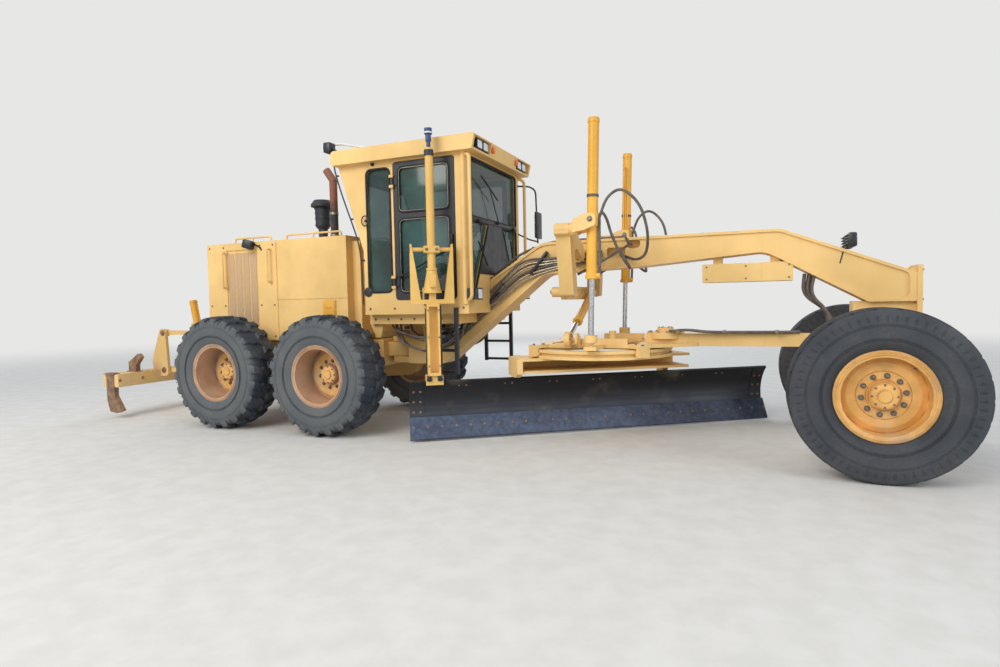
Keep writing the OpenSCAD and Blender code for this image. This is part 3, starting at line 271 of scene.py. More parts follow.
class Finish:
    """One procedural material, built from the places on the object that it covers."""

    def __init__(self, name, blend=False):
        self.material = bpy.data.materials.new(name)
        self.material.use_nodes = True
        self.tree = self.material.node_tree
        self.tree.nodes.clear()
        self.shader = self.tree.nodes.new("ShaderNodeBsdfPrincipled")
        out = self.tree.nodes.new("ShaderNodeOutputMaterial")
        self.tree.links.new(self.shader.outputs[0], out.inputs[0])
        self.place = self.tree.nodes.new("ShaderNodeTexCoord").outputs["Object"]
        if blend:
            self.material.surface_render_method = "BLENDED"

    def feed(self, socket, value):
        if isinstance(value, bpy.types.NodeSocket):
            self.tree.links.new(value, socket)
        else:
            socket.default_value = value

    def node(self, kind, inputs=(), out=0, **settings):
        made = self.tree.nodes.new(kind)
        for key, value in settings.items():
            setattr(made, key, value)
        for key, value in dict(inputs).items():
            self.feed(made.inputs[key], value)
        return made.outputs[out]

    def noise(self, scale, detail=3.0, stretch=(1, 1, 1), rough=0.55):
        place = self.place
        if stretch != (1, 1, 1):
            place = self.node("ShaderNodeMapping", {"Vector": place, "Scale": stretch})
        inputs = {"Vector": place, "Scale": scale, "Detail": detail, "Roughness": rough}
        return self.node("ShaderNodeTexNoise", inputs)

    def ramp(self, value, low, high, bottom=0.0, top=1.0):
        return self.node(
            "ShaderNodeMapRange",
            {"Value": value, "From Min": low, "From Max": high, "To Min": bottom, "To Max": top},
            interpolation_type="SMOOTHSTEP",
        )

    def math(self, operation, a, b=0.0):
        return self.node("ShaderNodeMath", {0: a, 1: b}, operation=operation)

    def mix(self, share, a, b, kind="MIX"):
        made = self.tree.nodes.new("ShaderNodeMix")
        made.data_type = "RGBA"
        made.blend_type = kind
        self.feed(made.inputs[0], share)
        self.feed(made.inputs[6], a)
        self.feed(made.inputs[7], b)
        return made.outputs[2]

    def axis(self, letter):
        return self.node("ShaderNodeSeparateXYZ", {0: self.place}, out="XYZ".index(letter))

    def facing_up(self):
        normal = self.tree.nodes.new("ShaderNodeNewGeometry").outputs["Normal"]
        return self.node("ShaderNodeSeparateXYZ", {0: normal}, out=2)

    def edges(self, radius=0.012):
        """1 along sharp edges, 0 on flats."""
        bevel = self.node("ShaderNodeBevel", {"Radius": radius}, samples=4)
        normal = self.tree.nodes.new("ShaderNodeNewGeometry").outputs["Normal"]
        both = {0: bevel, 1: normal}
        dot = self.node("ShaderNodeVectorMath", both, out="Value", operation="DOT_PRODUCT")
        return self.ramp(dot, 0.99, 0.80)

    def bump(self, height, distance, strength=1.0):
        normal = self.node("ShaderNodeBump", {"Height": height, "Distance": distance, "Strength": strength})
        self.feed(self.shader.inputs["Normal"], normal)

    def surface(self, color, rough, metal=0.0, **more):
        self.feed(self.shader.inputs["Base Color"], color)
        self.feed(self.shader.inputs["Roughness"], rough)
        self.shader.inputs["Metallic"].default_value = metal
        for key, value in more.items():
            self.shader.inputs[key.replace("_", " ")].default_value = value
        return self.material


FINISHES = {}
DUST = linear(186, 170, 148)
RUST = linear(122, 74, 44)
PALE = (0.80, 0.80, 0.79, 1)


def paint(name, color, rough=0.46, dust=0.35, rust=0.25, fade=0.10):
    """Sun-faded enamel with dust on ledges and low down, and rust along chipped edges."""
    f = Finish(name)
    patches = f.noise(0.9, 4)
    base = f.mix(f.ramp(patches, 0.35, 0.65), shade(color, 1 - fade), shade(color, 1 + fade, 0.03))
    streaks = f.ramp(f.noise(5.0, 4, (2.2, 2.2, 0.12)), 0.56, 0.72, 0.0, 0.20)
    base = f.mix(streaks, base, shade(color, 0.80))
    settled = f.ramp(f.noise(7.0, 5), 0.35, 0.7, 0.25, 1.0)
    ledge = f.math("MULTIPLY", f.ramp(f.facing_up(), 0.3, 0.95), settled)
    low = f.math("MULTIPLY", f.ramp(f.axis("Z"), 1.15, 0.15), f.ramp(f.noise(3.5, 5), 0.35, 0.65))
    cover = f.math("MULTIPLY", f.math("MAXIMUM", ledge, low), dust)
    base = f.mix(cover, base, DUST)
    chips = f.math("MULTIPLY", f.edges(), f.ramp(f.noise(16.0, 5), 0.53, 0.60))
    base = f.mix(f.math("MULTIPLY", chips, rust), base, RUST)
    f.bump(f.noise(55.0, 2), 0.0006, 0.35)
    return f.surface(base, f.ramp(patches, 0.3, 0.7, rough, rough + 0.14), Specular_IOR_Level=0.45)


def rubber(name, tread, wall, dusty, share):
    """Dark tread, greyer side walls and dust in blotches."""
    f = Finish(name)
    blotch = f.ramp(f.noise(3.0, 6), 0.30, 0.70)
    fine = f.ramp(f.noise(46.0, 4), 0.35, 0.70, 0.55, 1.0)
    normal = f.tree.nodes.new("ShaderNodeTexCoord").outputs["Normal"]
    sideways = f.math("ABSOLUTE", f.node("ShaderNodeSeparateXYZ", {0: normal}, out=1))
    color = f.mix(f.ramp(sideways, 0.45, 0.90), tread, wall)
    base = f.mix(f.math("MULTIPLY", f.math("MULTIPLY", blotch, fine), share), color, dusty)
    f.bump(f.noise(85.0, 4), 0.0012, 0.5)
    return f.surface(base, 0.82, Specular_IOR_Level=0.3)


def worn_steel_with_sheen(name, dark, polished_sheen):
    """Moldboard steel: dark above, rubbed glossy where the earth slides; its paler bluish colour low down,
    stronger towards the far end, is partly rubbed steel and partly painted sheen.
    """
    f = Finish(name)
    streak = f.noise(3.0, 5, (0.7, 0.7, 4.0))
    polish_and_sheen = f.math("MULTIPLY", f.ramp(f.axis("Z"), 0.50, 0.24), f.ramp(streak, 0.30, 0.70, 0.55, 1.0))
    # Painted sheen: the paler bluish colour grows towards the far end of the blade.
    along = f.ramp(f.axis("X"), 0.6, 2.9)
    polish_and_sheen = f.math("MULTIPLY", polish_and_sheen, f.ramp(along, 0.0, 1.0, 0.35, 1.0))
    # Dark steel above; below, a paler bluish colour that is part rubbed steel, part painted sheen.
    base = f.mix(polish_and_sheen, dark, polished_sheen)
    base = f.mix(f.ramp(f.noise(1.4, 5), 0.60, 0.80, 0.0, 0.30), base, DUST)
    f.bump(f.noise(26.0, 4, (1, 1, 3)), 0.0006, 0.4)
    return f.surface(base, f.ramp(polish_and_sheen, 0.0, 1.0, 0.50, 0.30), 0.55)


def plain(name, color, rough=0.5, metal=0.0, grain=40.0, spread=0.18):
    """Finish with a little variation in tone and gloss."""
    f = Finish(name)
    tone = f.noise(grain, 4)
    base = f.mix(f.ramp(tone, 0.3, 0.7), shade(color, 1 - spread), shade(color, 1 + spread))
    gloss = f.ramp(f.noise(grain / 4), 0.3, 0.7, rough * 0.85, rough * 1.15)
    f.bump(tone, 0.0005, 0.4)
    return f.surface(base, gloss, metal)


def tinted_glass(name):
    """Green-blue glass that shows the seat faintly, with paler green patches that are part haze, part painted
    reflection.
    """
    f = Finish(name, blend=True)
    # Paler green patches: part haze, part painted reflection.
    haze = f.ramp(f.noise(1.6, 5), 0.35, 0.75)
    base = f.mix(haze, linear(18, 58, 60), linear(78, 128, 122))
    return f.surface(base, 0.05, Alpha=0.50, Specular_IOR_Level=0.8)


def exhaust_iron(name):
    """Dark iron below and rusty above, where the stack gets hot."""
    f = Finish(name)
    high = f.ramp(f.math("ADD", f.axis("Z"), f.math("MULTIPLY", f.noise(9.0, 4), 0.25)), 2.72, 2.98)
    base = f.mix(high, linear(58, 60, 66), linear(142, 96, 78))
    base = f.mix(f.ramp(f.noise(14.0, 5), 0.5, 0.7, 0.0, 0.6), base, RUST)
    f.bump(f.noise(60.0, 4), 0.001, 0.6)
    return f.surface(base, 0.75, 0.3)


def perforated(name, color, hole_shade):
    """Painted sheet full of small round holes, drawn as dark dots of painted shade."""
    f = Finish(name)
    spots = f.node("ShaderNodeTexVoronoi", {"Vector": f.place, "Scale": 110.0, "Randomness": 0.0})
    sheet = f.ramp(spots, 0.34, 0.40)
    # The holes are dots of painted shade, the dark seen through them.
    base = f.mix(sheet, hole_shade, color)
    base = f.mix(f.ramp(f.noise(2.4, 5), 0.40, 0.75, 0.0, 0.35), base, DUST)
    f.bump(sheet, 0.001, 0.5)
    return f.surface(base, 0.6)


def dusty_rim(name, color, ring_in):
    """Rim paint, dusty, with rust along the worn edges."""
    f = Finish(name)
    base = f.mix(f.ramp(f.noise(4.0, 5), 0.35, 0.65), color, shade(color, 1.25, 0.03))
    chips = f.math("MULTIPLY", f.edges(0.02), f.ramp(f.noise(9.0, 5), 0.38, 0.56))
    base = f.mix(f.math("MULTIPLY", chips, ring_in), base, linear(134, 74, 48))
    base = f.mix(f.ramp(f.noise(2.2, 5), 0.45, 0.75, 0.0, 0.55), base, DUST)
    f.bump(f.noise(40.0, 3), 0.001, 0.4)
    return f.surface(base, 0.62)


class FinishSizes(bpy.types.PropertyGroup):
    """Colours that a user would change."""

    panel: bpy.props.FloatVectorProperty(
        name="Panel paint", description="Yellow of the hood, cab and frames", subtype="COLOR",
        size=3, default=linear(230, 190, 118)[:3], min=0, max=1,
    )
    cylinder: bpy.props.FloatVectorProperty(
        name="Cylinder paint", description="Deeper yellow of the cylinders and the mast", subtype="COLOR",
        size=3, default=linear(230, 170, 50)[:3], min=0, max=1,
    )


class ViewSizes(bpy.types.PropertyGroup):
    """Where the picture is taken from."""

    focal: bpy.props.FloatProperty(
        name="Focal length", description="Lens length on a 36 mm wide sensor", default=22.02, min=10, max=200,
    )
    spot: bpy.props.FloatVectorProperty(
        name="Camera", description="Where the camera stands", subtype="TRANSLATION",
        size=3, default=at(-0.87752, -6.54579, 1.45437),
    )
    yaw: bpy.props.FloatProperty(
        name="Yaw", description="Turn from straight left, clockwise from above", subtype="ANGLE",
        default=-0.401652,
    )
    pitch: bpy.props.FloatProperty(
        name="Pitch", description="Tilt above the horizon", subtype="ANGLE", default=-0.0521953,
    )
    roll: bpy.props.FloatProperty(
        name="Roll", description="Turn about the line of sight", subtype="ANGLE", default=-0.0205194,
    )


class GRADER_OT_stage(bpy.types.Operator):
    """Adds the floor, the soft lamps and the camera."""

    bl_idname = "grader.stage"
    bl_label = "Stage and camera"

    def execute(self, context):
        scene = context.scene
        scene.view_settings.view_transform = "Standard"
        self.backdrop(scene)
        self.floor(scene)
        self.lamps(scene)
        self.camera(scene, scene.grader_view)
        return {"FINISHED"}

    def backdrop(self, scene):
        """Pale where it is seen, bluish and dimmer as a light on the grader."""
        world = bpy.data.worlds.new("studio")
        world.use_nodes = True
        scene.world = world
        tree = world.node_tree
        tree.nodes.clear()
        path = tree.nodes.new("ShaderNodeLightPath").outputs
        seen = tree.nodes.new("ShaderNodeMath")
        seen.operation = "MAXIMUM"
        through = tree.nodes.new("ShaderNodeMath")
        through.operation = "MAXIMUM"
        tree.links.new(path["Is Glossy Ray"], through.inputs[0])
        tree.links.new(path["Is Transmission Ray"], through.inputs[1])
        tree.links.new(path["Is Camera Ray"], seen.inputs[0])
        tree.links.new(through.outputs[0], seen.inputs[1])
        white = tree.nodes.new("ShaderNodeBackground")
        white.inputs[0].default_value = PALE
        white.inputs[1].default_value = 1.0
        soft = tree.nodes.new("ShaderNodeBackground")
        soft.inputs[0].default_value = (0.80, 0.88, 1.0, 1)
        soft.inputs[1].default_value = 0.62
        blend = tree.nodes.new("ShaderNodeMixShader")
        out = tree.nodes.new("ShaderNodeOutputWorld")
        tree.links.new(seen.outputs[0], blend.inputs[0])
        tree.links.new(soft.outputs[0], blend.inputs[1])
        tree.links.new(white.outputs[0], blend.inputs[2])
        tree.links.new(blend.outputs[0], out.inputs[0])

    def floor(self, scene):
        """Pale floor that fades into the backdrop far away."""
        bm = bmesh.new()
        bmesh.ops.create_grid(bm, x_segments=1, y_segments=1, size=60)
        mesh = bpy.data.meshes.new("floor")
        bm.to_mesh(mesh)
        bm.free()
        floor = bpy.data.objects.new("floor", mesh)
        scene.collection.objects.link(floor)
        floor.location.z = CAD_BOX[0][2]
        f = Finish("pale_floor")
        tone = f.mix(f.ramp(f.noise(5.0, 4), 0.3, 0.7), linear(216, 213, 206), linear(224, 221, 215))
        f.surface(tone, 0.9)
        rays = f.tree.nodes.new("ShaderNodeLightPath").outputs
        bounced = f.math("MAXIMUM", rays["Is Glossy Ray"], rays["Is Transmission Ray"])
        seen = f.math("MAXIMUM", rays["Is Camera Ray"], bounced)
        distance = f.node("ShaderNodeVectorMath", {0: f.place}, out="Value", operation="LENGTH")
        far = f.ramp(distance, 8.0, 24.0)
        fade = f.tree.nodes.new("ShaderNodeMixShader")
        haze = f.tree.nodes.new("ShaderNodeEmission")
        haze.inputs["Color"].default_value = PALE
        f.feed(fade.inputs[0], f.math("MULTIPLY", far, seen))
        f.feed(fade.inputs[1], f.shader.outputs[0])
        f.feed(fade.inputs[2], haze.outputs[0])
        out = next(n for n in f.tree.nodes if n.type == "OUTPUT_MATERIAL")
        f.feed(out.inputs[0], fade.outputs[0])
        mesh.materials.append(f.material)

    def lamps(self, scene):
        """Three wide soft lamps, each given by name, place, width, power and colour."""
        aim = Vector((0.0, 0.0, 1.2))
        lamps = (
            ("key", (-3.0, -13.0, 9.5), 9.0, 1500, (1.0, 0.96, 0.90)),
            ("front", (13.0, -6.0, 6.0), 7.0, 420, (0.95, 0.97, 1.0)),
            ("back", (-4.0, 12.0, 8.0), 8.0, 500, (0.92, 0.96, 1.0)),
        )
        for name, spot, size, power, color in lamps:
            data = bpy.data.lights.new(name, "AREA")
            data.size, data.energy, data.color = size, power, color
            lamp = bpy.data.objects.new(name, data)
            scene.collection.objects.link(lamp)
            lamp.location = spot
            lamp.rotation_euler = (aim - Vector(spot)).to_track_quat("-Z", "Y").to_euler()

    def camera(self, scene, sizes):
        """Camera at the angle from which the grader is shown."""
        pitch, yaw, roll = sizes.pitch, sizes.yaw, sizes.roll
        level = math.cos(pitch)
        ahead = Vector((math.sin(yaw) * level, math.cos(yaw) * level, math.sin(pitch)))
        right = Vector((math.cos(yaw), -math.sin(yaw), 0.0))
        up = right.cross(ahead)
        side = right * math.cos(roll) + up * math.sin(roll)
        over = -right * math.sin(roll) + up * math.cos(roll)
        data = bpy.data.cameras.new("camera")
        data.sensor_width, data.lens = 36.0, sizes.focal
        data.clip_end = 200
        camera = bpy.data.objects.new("camera", data)
        scene.collection.objects.link(camera)
        turn = Matrix((side, over, -ahead)).transposed().to_4x4()
        camera.matrix_world = Matrix.Translation(sizes.spot) @ turn
        scene.camera = camera


NODE_FINISH = {
    "yellow": (
        "rear_frame rear_axle front_frame front_axle lean_yoke_right lean_yoke_left lean_bar knuckle_right "
        "knuckle_left tandem_case_right tandem_case_left lift_arms drawbar circle blade_carrier hood "
        "hood_grilles cab_body cab_roof"
    ),
    "old_yellow": "ripper_links_low ripper_links_high ripper_frame",
    "cylinder": "lift_barrel_right lift_barrel_left shift_barrel ripper_barrels",
    "mast": "mast_column",
    "chrome": "lift_rod_right lift_rod_left shift_rod ripper_rods",
    "tyre": "front_tyre_right front_tyre_left",
    "drive_tyre": "mid_tyre_right mid_tyre_left rear_tyre_right rear_tyre_left",
    "rim_tan": "mid_rim_right mid_rim_left rear_rim_right rear_rim_left",
    "rim_ochre": "front_rim_right front_rim_left",
    "blade": "moldboard",
    "shank": "ripper_shanks",
    "edge": "cutting_edge",
    "black": "door_right door_left steps lamps",
    "plastic": "console pre_cleaner",
    "glass": "cab_glass door_glass_right door_glass_left",
    "exhaust": "exhaust_stack",
    "head": "mast_rod",
    "seat": "seat",
    "engine": "engine_block",
}


def make_finishes(scene):
    """Every finish of the grader, by the key that pieces use."""
    panel = (*scene.grader_finish.panel, 1.0)
    cylinder = (*scene.grader_finish.cylinder, 1.0)
    return {
        "yellow": paint("yellow_paint", panel),
        "old_yellow": paint("ripper_paint", panel, rough=0.6, dust=0.55, rust=0.9),
        "cylinder": paint("cylinder_paint", cylinder, rough=0.34, dust=0.2),
        "chrome": plain("chrome_rod", linear(200, 202, 206), 0.16, 1.0),
        "tyre": rubber("tyre_rubber", linear(42, 46, 54), linear(62, 65, 70), linear(98, 99, 100), 0.45),
        "drive_tyre": rubber(
            "drive_tyre_rubber", linear(46, 54, 66), linear(88, 93, 97), linear(122, 120, 114), 0.45,
        ),
        "rim_tan": dusty_rim("rear_rim_paint", linear(172, 136, 106), 1.0),
        "rim_ochre": dusty_rim("front_rim_paint", linear(208, 158, 84), 0.8),
        # The blade's second colour is rubbed steel with painted sheen.
        "blade": worn_steel_with_sheen("moldboard_steel", linear(46, 47, 50), linear(98, 106, 120)),
        "shank": plain("shank_steel", linear(142, 112, 88), 0.6, 0.3, 12.0, 0.35),
        # Grey steel of the cutting edge, whose blue tint is painted sheen.
        "edge": plain("edge_steel", linear(74, 84, 104), 0.44, 0.6, 18.0, 0.25),
        "black": plain("black_paint", linear(34, 35, 42), 0.42),
        "plastic": plain("black_plastic", linear(42, 46, 54), 0.6),
        "glass": tinted_glass("tinted_glass"),
        "mast": paint("mast_paint", linear(226, 182, 96), rough=0.42, dust=0.25, rust=0.5),
        "exhaust": exhaust_iron("exhaust_iron"),
        "head": plain("sensor_blue", linear(40, 66, 112), 0.4),
        "seat": plain("seat_cloth", linear(70, 92, 92), 0.9, 0.0, 120.0, 0.3),
        "engine": plain("engine_iron", linear(74, 72, 68), 0.7, 0.3, 10.0, 0.3),
        "hose": plain("hose_rubber", linear(98, 89, 82), 0.65, 0.0, 14.0, 0.35),
        "line": plain("steel_lines", linear(150, 142, 128), 0.38, 0.8, 30.0, 0.25),
        "nut": plain("plated_nuts", linear(128, 120, 106), 0.42, 0.7, 60.0, 0.3),
        "rubber": plain("window_rubber", linear(22, 23, 26), 0.7, 0.0, 80.0, 0.2),
        "lens": plain("lamp_lens", linear(226, 230, 232), 0.12, 0.0, 20.0, 0.05),
        "amber": plain("amber_lens", linear(226, 112, 24), 0.18, 0.0, 20.0, 0.1),
        "red": plain("red_lens", linear(168, 26, 22), 0.2, 0.0, 20.0, 0.1),
        "mirror": plain("mirror_glass", linear(214, 218, 222), 0.06, 1.0, 8.0, 0.03),
        "white": plain("white_plastic", linear(222, 222, 218), 0.4, 0.0, 40.0, 0.05),
        # The second colour is the painted shade seen through the holes.
        "screen": perforated("perforated_sheet", linear(206, 170, 128), linear(104, 84, 72)),
    }


class GRADER_OT_paint(bpy.types.Operator):
    """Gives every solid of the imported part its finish."""

    bl_idname = "grader.paint"
    bl_label = "Finishes"

    def execute(self, context):
        finishes = make_finishes(context.scene)
        FINISHES.update(finishes)
        done = set()
        for key, names in NODE_FINISH.items():
            for name in names.split():
                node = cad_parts[name]
                node.data.materials.clear()
                node.data.materials.append(finishes[key])
                done.add(name)
        left = set(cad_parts) - done
        if left:
            raise ValueError(f"no finish for {sorted(left)}")
        return {"FINISHED"}


class GRADER_OT_wheels(bpy.types.Operator):
    """Adds nuts, caps, lock rings, valves and wall ribs to the wheels, and lugs to the drive tyres."""

    bl_idname = "grader.wheels"
    bl_label = "Wheel fittings"

    def execute(self, context):
        for axle in AXLES:
            for side, s in SIDES.items():
                self.wheel(axle, side, s)
        return {"FINISHED"}

    def wheel(self, axle, side, s):
        """Fittings of one wheel; the front disc stands out and the drive disc lies in the rim."""
        front = axle == "front"
        spot = middle(f"{axle}_rim_{side}")
        out = Vector((0, s, 0))
        disc = 0.070 if front else -0.078
        hub = disc + 0.06
        cap_ring = 0.190 if front else 0.246
        body = f"{axle}_wheel_{side}"
        rubber_key = "tyre" if front else "drive_tyre"

        rim = Forge()
        lock_ring = ((0.172, 0.322), (0.180, 0.312), (0.194, 0.322), (0.197, 0.334), (0.180, 0.338))
        rim.lathe(spot, out, lock_ring, 64, closed=True)
        rim.make(f"{body}_lock_ring", "rim_ochre" if front else "rim_tan", body)

        cap = Forge()
        dome = ((-0.004, 0.098), (0.010, 0.096), (0.018, 0.080), (0.018, 0.052), (0.030, 0.046), (0.030, 0))
        cap.lathe(spot + out * hub, out, dome)
        low, high = disc + 0.001, disc + 0.007
        raised = ((low, cap_ring), (high, cap_ring - 0.004), (high, 0.122), (low, 0.118))
        cap.lathe(spot, out, raised, 48, closed=True)
        cap.make(f"{body}_cap", "rim_ochre", body)

        nuts = Forge()
        for a in spokes(10, math.radians(9)):
            ray = Vector((math.cos(a), 0, math.sin(a)))
            nuts.bolt(spot + ray * 0.152 + out * (disc + 0.006), out, 0.017)
            stud = ((0, 0.009), (0.016, 0.009), (0.018, 0.006))
            nuts.lathe(spot + ray * 0.152 + out * (disc + 0.02), out, stud, 10)
        for a in spokes(8):
            ray = Vector((math.cos(a), 0, math.sin(a)))
            nuts.bolt(spot + ray * 0.084 + out * (hub + 0.012), out, 0.008)
        foot = spot + Vector((0.20, 0, 0.21)) + out * disc
        valve = (foot, foot + out * 0.05, foot + Vector((0.015, 0, 0.015)) + out * 0.07)
        nuts.pipe(valve, 0.006, 0.01)
        nuts.make(f"{body}_nuts", "nut", body)

        ribs = Forge()
        for face in (-1, 1):
            way = out * face
            for r in (0.432, 0.446, 0.540, 0.552):
                rib = ((0.212, r - 0.004), (0.2252, r - 0.001), (0.2252, r + 0.001), (0.212, r + 0.004))
                ribs.lathe(spot, way, rib, 72, closed=True)
            for a in spokes(60):
                ray = Vector((math.cos(a), 0, math.sin(a)))
                tick = (spot + ray * 0.572 + way * 0.2205, spot + ray * 0.618 + way * 0.2165)
                ribs.pipe(tick, 0.004, sides=6)
        ribs.make(f"{body}_ribs", rubber_key, body)
        if not front:
            self.tread(axle, side, spot)

    def tread(self, axle, side, spot):
        """Deep zigzag lugs on a plain carcass, in the place of the solid tyre."""
        tyre = Forge()
        bead = 0.330
        wall = (
            (0.645, 0.0), (0.642, 0.10), (0.632, 0.17), (0.612, 0.205), (0.575, 0.2215), (0.50, 0.2252),
            (0.42, 0.216), (0.355, 0.198), (0.334, 0.180), (bead, 0.150),
        )
        far_wall = [(-y, r) for r, y in reversed(wall)]
        near_wall = [(y, r) for r, y in wall[1:]]
        tyre.lathe(spot, (0, 1, 0), far_wall + near_wall + [(0.0, bead)], 96, closed=True)
        # Across the tyre, radius and lead of a lug's middle line
        lug_line = (
            (0.006, 0.675, 0.0), (0.07, 0.674, 0.055), (0.105, 0.672, 0.030), (0.165, 0.666, 0.085),
            (0.205, 0.646, 0.095), (0.2245, 0.590, 0.098),
        )
        top, foot = 0.052, 0.072
        for i, start in enumerate(spokes(44)):
            face = 1 if i % 2 else -1
            lug = []
            for y, radius, lead in lug_line:
                inner = min(radius - 0.02, 0.640)
                ring = []
                for r, a in ((radius, -top), (radius, top), (inner, foot), (inner, -foot)):
                    turn = start + lead + a
                    ring.append(spot + Vector((r * math.cos(turn), face * y, r * math.sin(turn))))
                lug.append(ring)
            tyre.rings(lug)
        made = tyre.make(f"{axle}_lugged_tyre_{side}", "drive_tyre", f"{axle}_wheel_{side}", 40)
        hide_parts(f"{axle}_tyre_{side}")


class GRADER_OT_hood(bpy.types.Operator):
    """Adds rails, perforated sheets, bolts, recess doors in a deeper yellow that is partly painted shade,
    lamps and the stacks' rings to the hood.
    """

    bl_idname = "grader.hood"
    bl_label = "Hood fittings"

    def execute(self, context):
        self.skins()
        self.stacks()
        self.tail_lamps()
        return {"FINISHED"}

    def skins(self):
        """What is fixed to the hood's sides and top."""
        rails = Forge()
        screens = Forge()
        trim = Forge()
        recess_shade = Forge()
        for s in (-1, 1):
            skin = s * HOOD_HALF
            out = s * (HOOD_HALF + 0.06)
            top = s * 0.50
            for x, high, low in ((-7.245, 2.15, 1.70), (-6.50, 2.165, 1.757)):
                rails.pipe(trail((x, skin, high), (x, out, high), (x, out, low), (x, skin, low)), 0.013, 0.03)
                for z in (high, low):
                    rails.lathe(at(x, skin, z), (0, s, 0), ((0, 0.024), (0.005, 0.022)), 20)
            for x0, x1 in ((-7.16, -6.56), (-6.31, -5.48)):
                arch = trail((x0, top, 2.265), (x0, top, 2.335), (x1, top, 2.335), (x1, top, 2.265))
                rails.pipe(arch, 0.012, 0.04)
                mid = (x0 + x1) / 2
                rails.pipe(trail((mid, top, 2.265), (mid, top, 2.335)), 0.010)
            for i in range(4):
                screens.block(at(-7.1675 + 0.125 * i, s * 0.579, 1.675), (0.104, 0.004, 0.93), 0.001)
            for x in (-7.52, -7.28, -6.67, -6.46):
                for z in (1.08, 1.47, 2.22):
                    trim.bolt(at(x, skin, z), (0, s, 0), 0.008)
            # Recess doors: blocks standing out from the skin, in a deeper yellow that is partly the panel's
            # ochre and partly painted shade of a recess.
            recess_shade.block(at(-5.61, s * 0.604, 1.40), (0.16, 0.034, 0.22), 0.006)
            recess_shade.block(at(-5.615, s * 0.622, 1.43), (0.085, 0.014, 0.022), 0.006)
            trim.bolt(at(-5.61, s * 0.619, 1.33), (0, s, 0), 0.009)
        screens.block(at(-7.536, 0, 1.635), (0.004, 0.95, 1.02), 0.001)
        trim.block(at(-6.80, -0.645, 2.235), (0.13, 0.10, 0.11), 0.02, 0.25, 0.30)
        trim.pipe(trail((-6.76, -0.58, 2.24), (-6.66, -0.60, 2.20), (-6.64, -0.585, 2.16)), 0.012)
        # Deeper yellow, partly painted shade of the recess.
        recess_shade.make("hood_recess_doors_painted_shade", "cylinder", "rear_frame")
        rails.make("hood_rails", "yellow", "rear_frame")
        screens.make("hood_screens", "screen", "rear_frame")
        trim.make("hood_latches", "black", "rear_frame")

    def stacks(self):
        """Clamps of the exhaust, and rings and vanes of the cleaner."""
        clamps = Forge()
        for z in (2.34, 2.62):
            clamps.band(at(-5.96, 0, z), UP, 0, 0.03, 0.049, 0.058)
        clamps.make("exhaust_clamps", "line", "rear_frame")
        foot = middle("pre_cleaner")
        foot.z = lowest("pre_cleaner").z
        bowl = Forge()
        for z, radius in ((0.20, 0.066), (0.245, 0.102), (0.33, 0.103), (0.40, 0.104), (0.455, 0.107)):
            bowl.band(foot + UP * z, UP, 0, 0.012, radius - 0.008, radius, 40)
        for a in spokes(16):
            ray = Vector((math.cos(a), math.sin(a), 0))
            rim = foot + UP * 0.525 + ray * 0.120
            bowl.pipe((rim, rim - ray * 0.05 + UP * 0.048), 0.005, sides=6)
        bowl.make("cleaner_rings", "plastic", "rear_frame")

    def tail_lamps(self):
        lamps = Forge()
        lens = Forge()
        for s in (-1, 1):
            lamps.block(at(-7.765, s * 0.43, 0.93), (0.05, 0.13, 0.10), 0.01)
            lens.block(at(-7.795, s * 0.43, 0.93), (0.014, 0.105, 0.076), 0.006)
        lamps.make("tail_lamp_cases", "black", "rear_frame")
        lens.make("tail_lamp_lenses", "red", "rear_frame")


def side_pane(y, x0, x1, z0, z1):
    """Corners of an upright window in a side wall."""
    return trail((x0, y, z0), (x1, y, z0), (x1, y, z1), (x0, y, z1))


